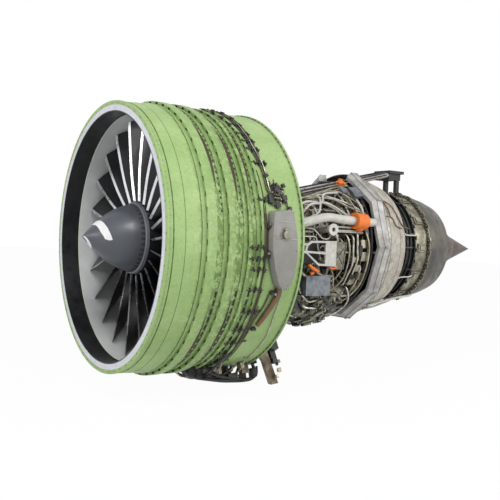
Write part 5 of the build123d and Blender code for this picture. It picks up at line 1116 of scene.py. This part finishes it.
for x, count in ((5.045, 120), (5.165, 90), (5.385, 90), (5.545, 120)):
    rivet = stud(x, np.interp(x, sleeve_x, sleeve_r) - .002, 0, .009, .004)
    rivets.append(round_about(rivet, evenly(count)))
piece("sleeve_rivets", joined(rivets), SLEEVE)


# Floor, light and camera
def camera():
    """The camera of the photograph: where it aims, its angles and its focal length in pixels."""
    focal_px, frame_px = 718.29, 500
    az, el, roll, distance = math.radians(-34.002), math.radians(1.307), math.radians(2.283), 10.321
    target = Vector((2.2191, 0.0, -0.1178))
    back = Vector((math.sin(az) * math.cos(el), -math.cos(az) * math.cos(el), math.sin(el)))
    right = (-back).cross(Vector((0, 0, 1))).normalized()
    up = right.cross(-back)
    right, up = right * math.cos(roll) + up * math.sin(roll), up * math.cos(roll) - right * math.sin(roll)
    data = bpy.data.cameras.new("camera")
    data.sensor_width, data.lens = 36.0, 36.0 * focal_px / frame_px
    data.clip_start, data.clip_end = 0.1, 200
    cam = bpy.data.objects.new("camera", data)
    bpy.context.scene.collection.objects.link(cam)
    place = Matrix((right, up, back)).transposed().to_4x4()
    place.translation = target + back * distance
    cam.matrix_world = place
    bpy.context.scene.camera = cam


def white_backdrop(tree, ground, surface):
    """One shader that shows surface to the camera, to reflections and through glass, and
    ground to all other rays."""
    path = tree.nodes.new("ShaderNodeLightPath")
    seen = tree.nodes.new("ShaderNodeMath")
    seen.operation = "MAXIMUM"
    tree.links.new(path.outputs["Is Camera Ray"], seen.inputs[0])
    tree.links.new(path.outputs["Is Glossy Ray"], seen.inputs[1])
    both = tree.nodes.new("ShaderNodeMath")
    both.operation = "MAXIMUM"
    tree.links.new(seen.outputs[0], both.inputs[0])
    tree.links.new(path.outputs["Is Transmission Ray"], both.inputs[1])
    mix = tree.nodes.new("ShaderNodeMixShader")
    tree.links.new(both.outputs[0], mix.inputs[0])
    tree.links.new(ground, mix.inputs[1])
    tree.links.new(surface, mix.inputs[2])
    return mix.outputs[0]


def world():
    """A soft sky for the light, and white for what the camera sees of it."""
    sky = bpy.data.worlds.new("studio")
    bpy.context.scene.world = sky
    sky.use_nodes = True
    tree = sky.node_tree
    soft = tree.nodes["Background"]
    soft.inputs[0].default_value = (0.95, 0.97, 1.0, 1)
    soft.inputs[1].default_value = 0.44
    white = tree.nodes.new("ShaderNodeBackground")
    white.inputs[0].default_value = (1, 1, 1, 1)
    white.inputs[1].default_value = 1.0
    shown = white_backdrop(tree, soft.outputs[0], white.outputs[0])
    tree.links.new(shown, tree.nodes["World Output"].inputs[0])


def floor():
    """A pale floor that glows so much that it shows as white."""
    half_side, low = 60.0, cad_box[0].z - 0.12
    corners = [(i * half_side, j * half_side, low) for i, j in ((-1, -1), (1, -1), (1, 1), (-1, 1))]
    mesh = bpy.data.meshes.new("floor")
    mesh.from_pydata(corners, [], [(0, 1, 2, 3)])
    plain = bpy.data.materials.new("floor_pale")
    plain.use_nodes = True
    tree = plain.node_tree
    shader = tree.nodes["Principled BSDF"]
    shader.inputs["Base Color"].default_value = (0.86, 0.86, 0.86, 1)
    shader.inputs["Roughness"].default_value = 0.9
    shader.inputs["Specular IOR Level"].default_value = 0.0
    glow = tree.nodes.new("ShaderNodeEmission")
    glow.inputs[0].default_value = (1, 1, 1, 1)
    half = tree.nodes.new("ShaderNodeMixShader")
    half.inputs[0].default_value = 0.965
    tree.links.new(shader.outputs[0], half.inputs[1])
    tree.links.new(glow.outputs[0], half.inputs[2])
    shown = white_backdrop(tree, shader.outputs[0], half.outputs[0])
    tree.links.new(shown, tree.nodes["Material Output"].inputs[0])
    mesh.materials.append(plain)
    made = bpy.data.objects.new("floor", mesh)
    bpy.context.scene.collection.objects.link(made)


def lamp(name, place, aim, size, power):
    """A round area lamp at a place, turned towards a spot."""
    data = bpy.data.lights.new(name, "AREA")
    data.shape, data.size, data.energy = "DISK", size, power
    made = bpy.data.objects.new(name, data)
    bpy.context.scene.collection.objects.link(made)
    made.location = place
    made.rotation_mode = "QUATERNION"
    made.rotation_quaternion = (Vector(aim) - Vector(place)).to_track_quat("-Z", "Y")


camera()
world()
floor()
lamp("key", (-3.0, -9.0, 9.0), (2.0, 0.0, 0.2), 6.0, 980)
lamp("fill", (9.0, -8.0, 3.0), (3.5, 0.0, 0.0), 5.0, 330)
lamp("front", (-9.0, -2.0, 2.5), (0.0, 0.0, 0.0), 4.0, 260)
bpy.context.scene.view_settings.view_transform = "Standard"
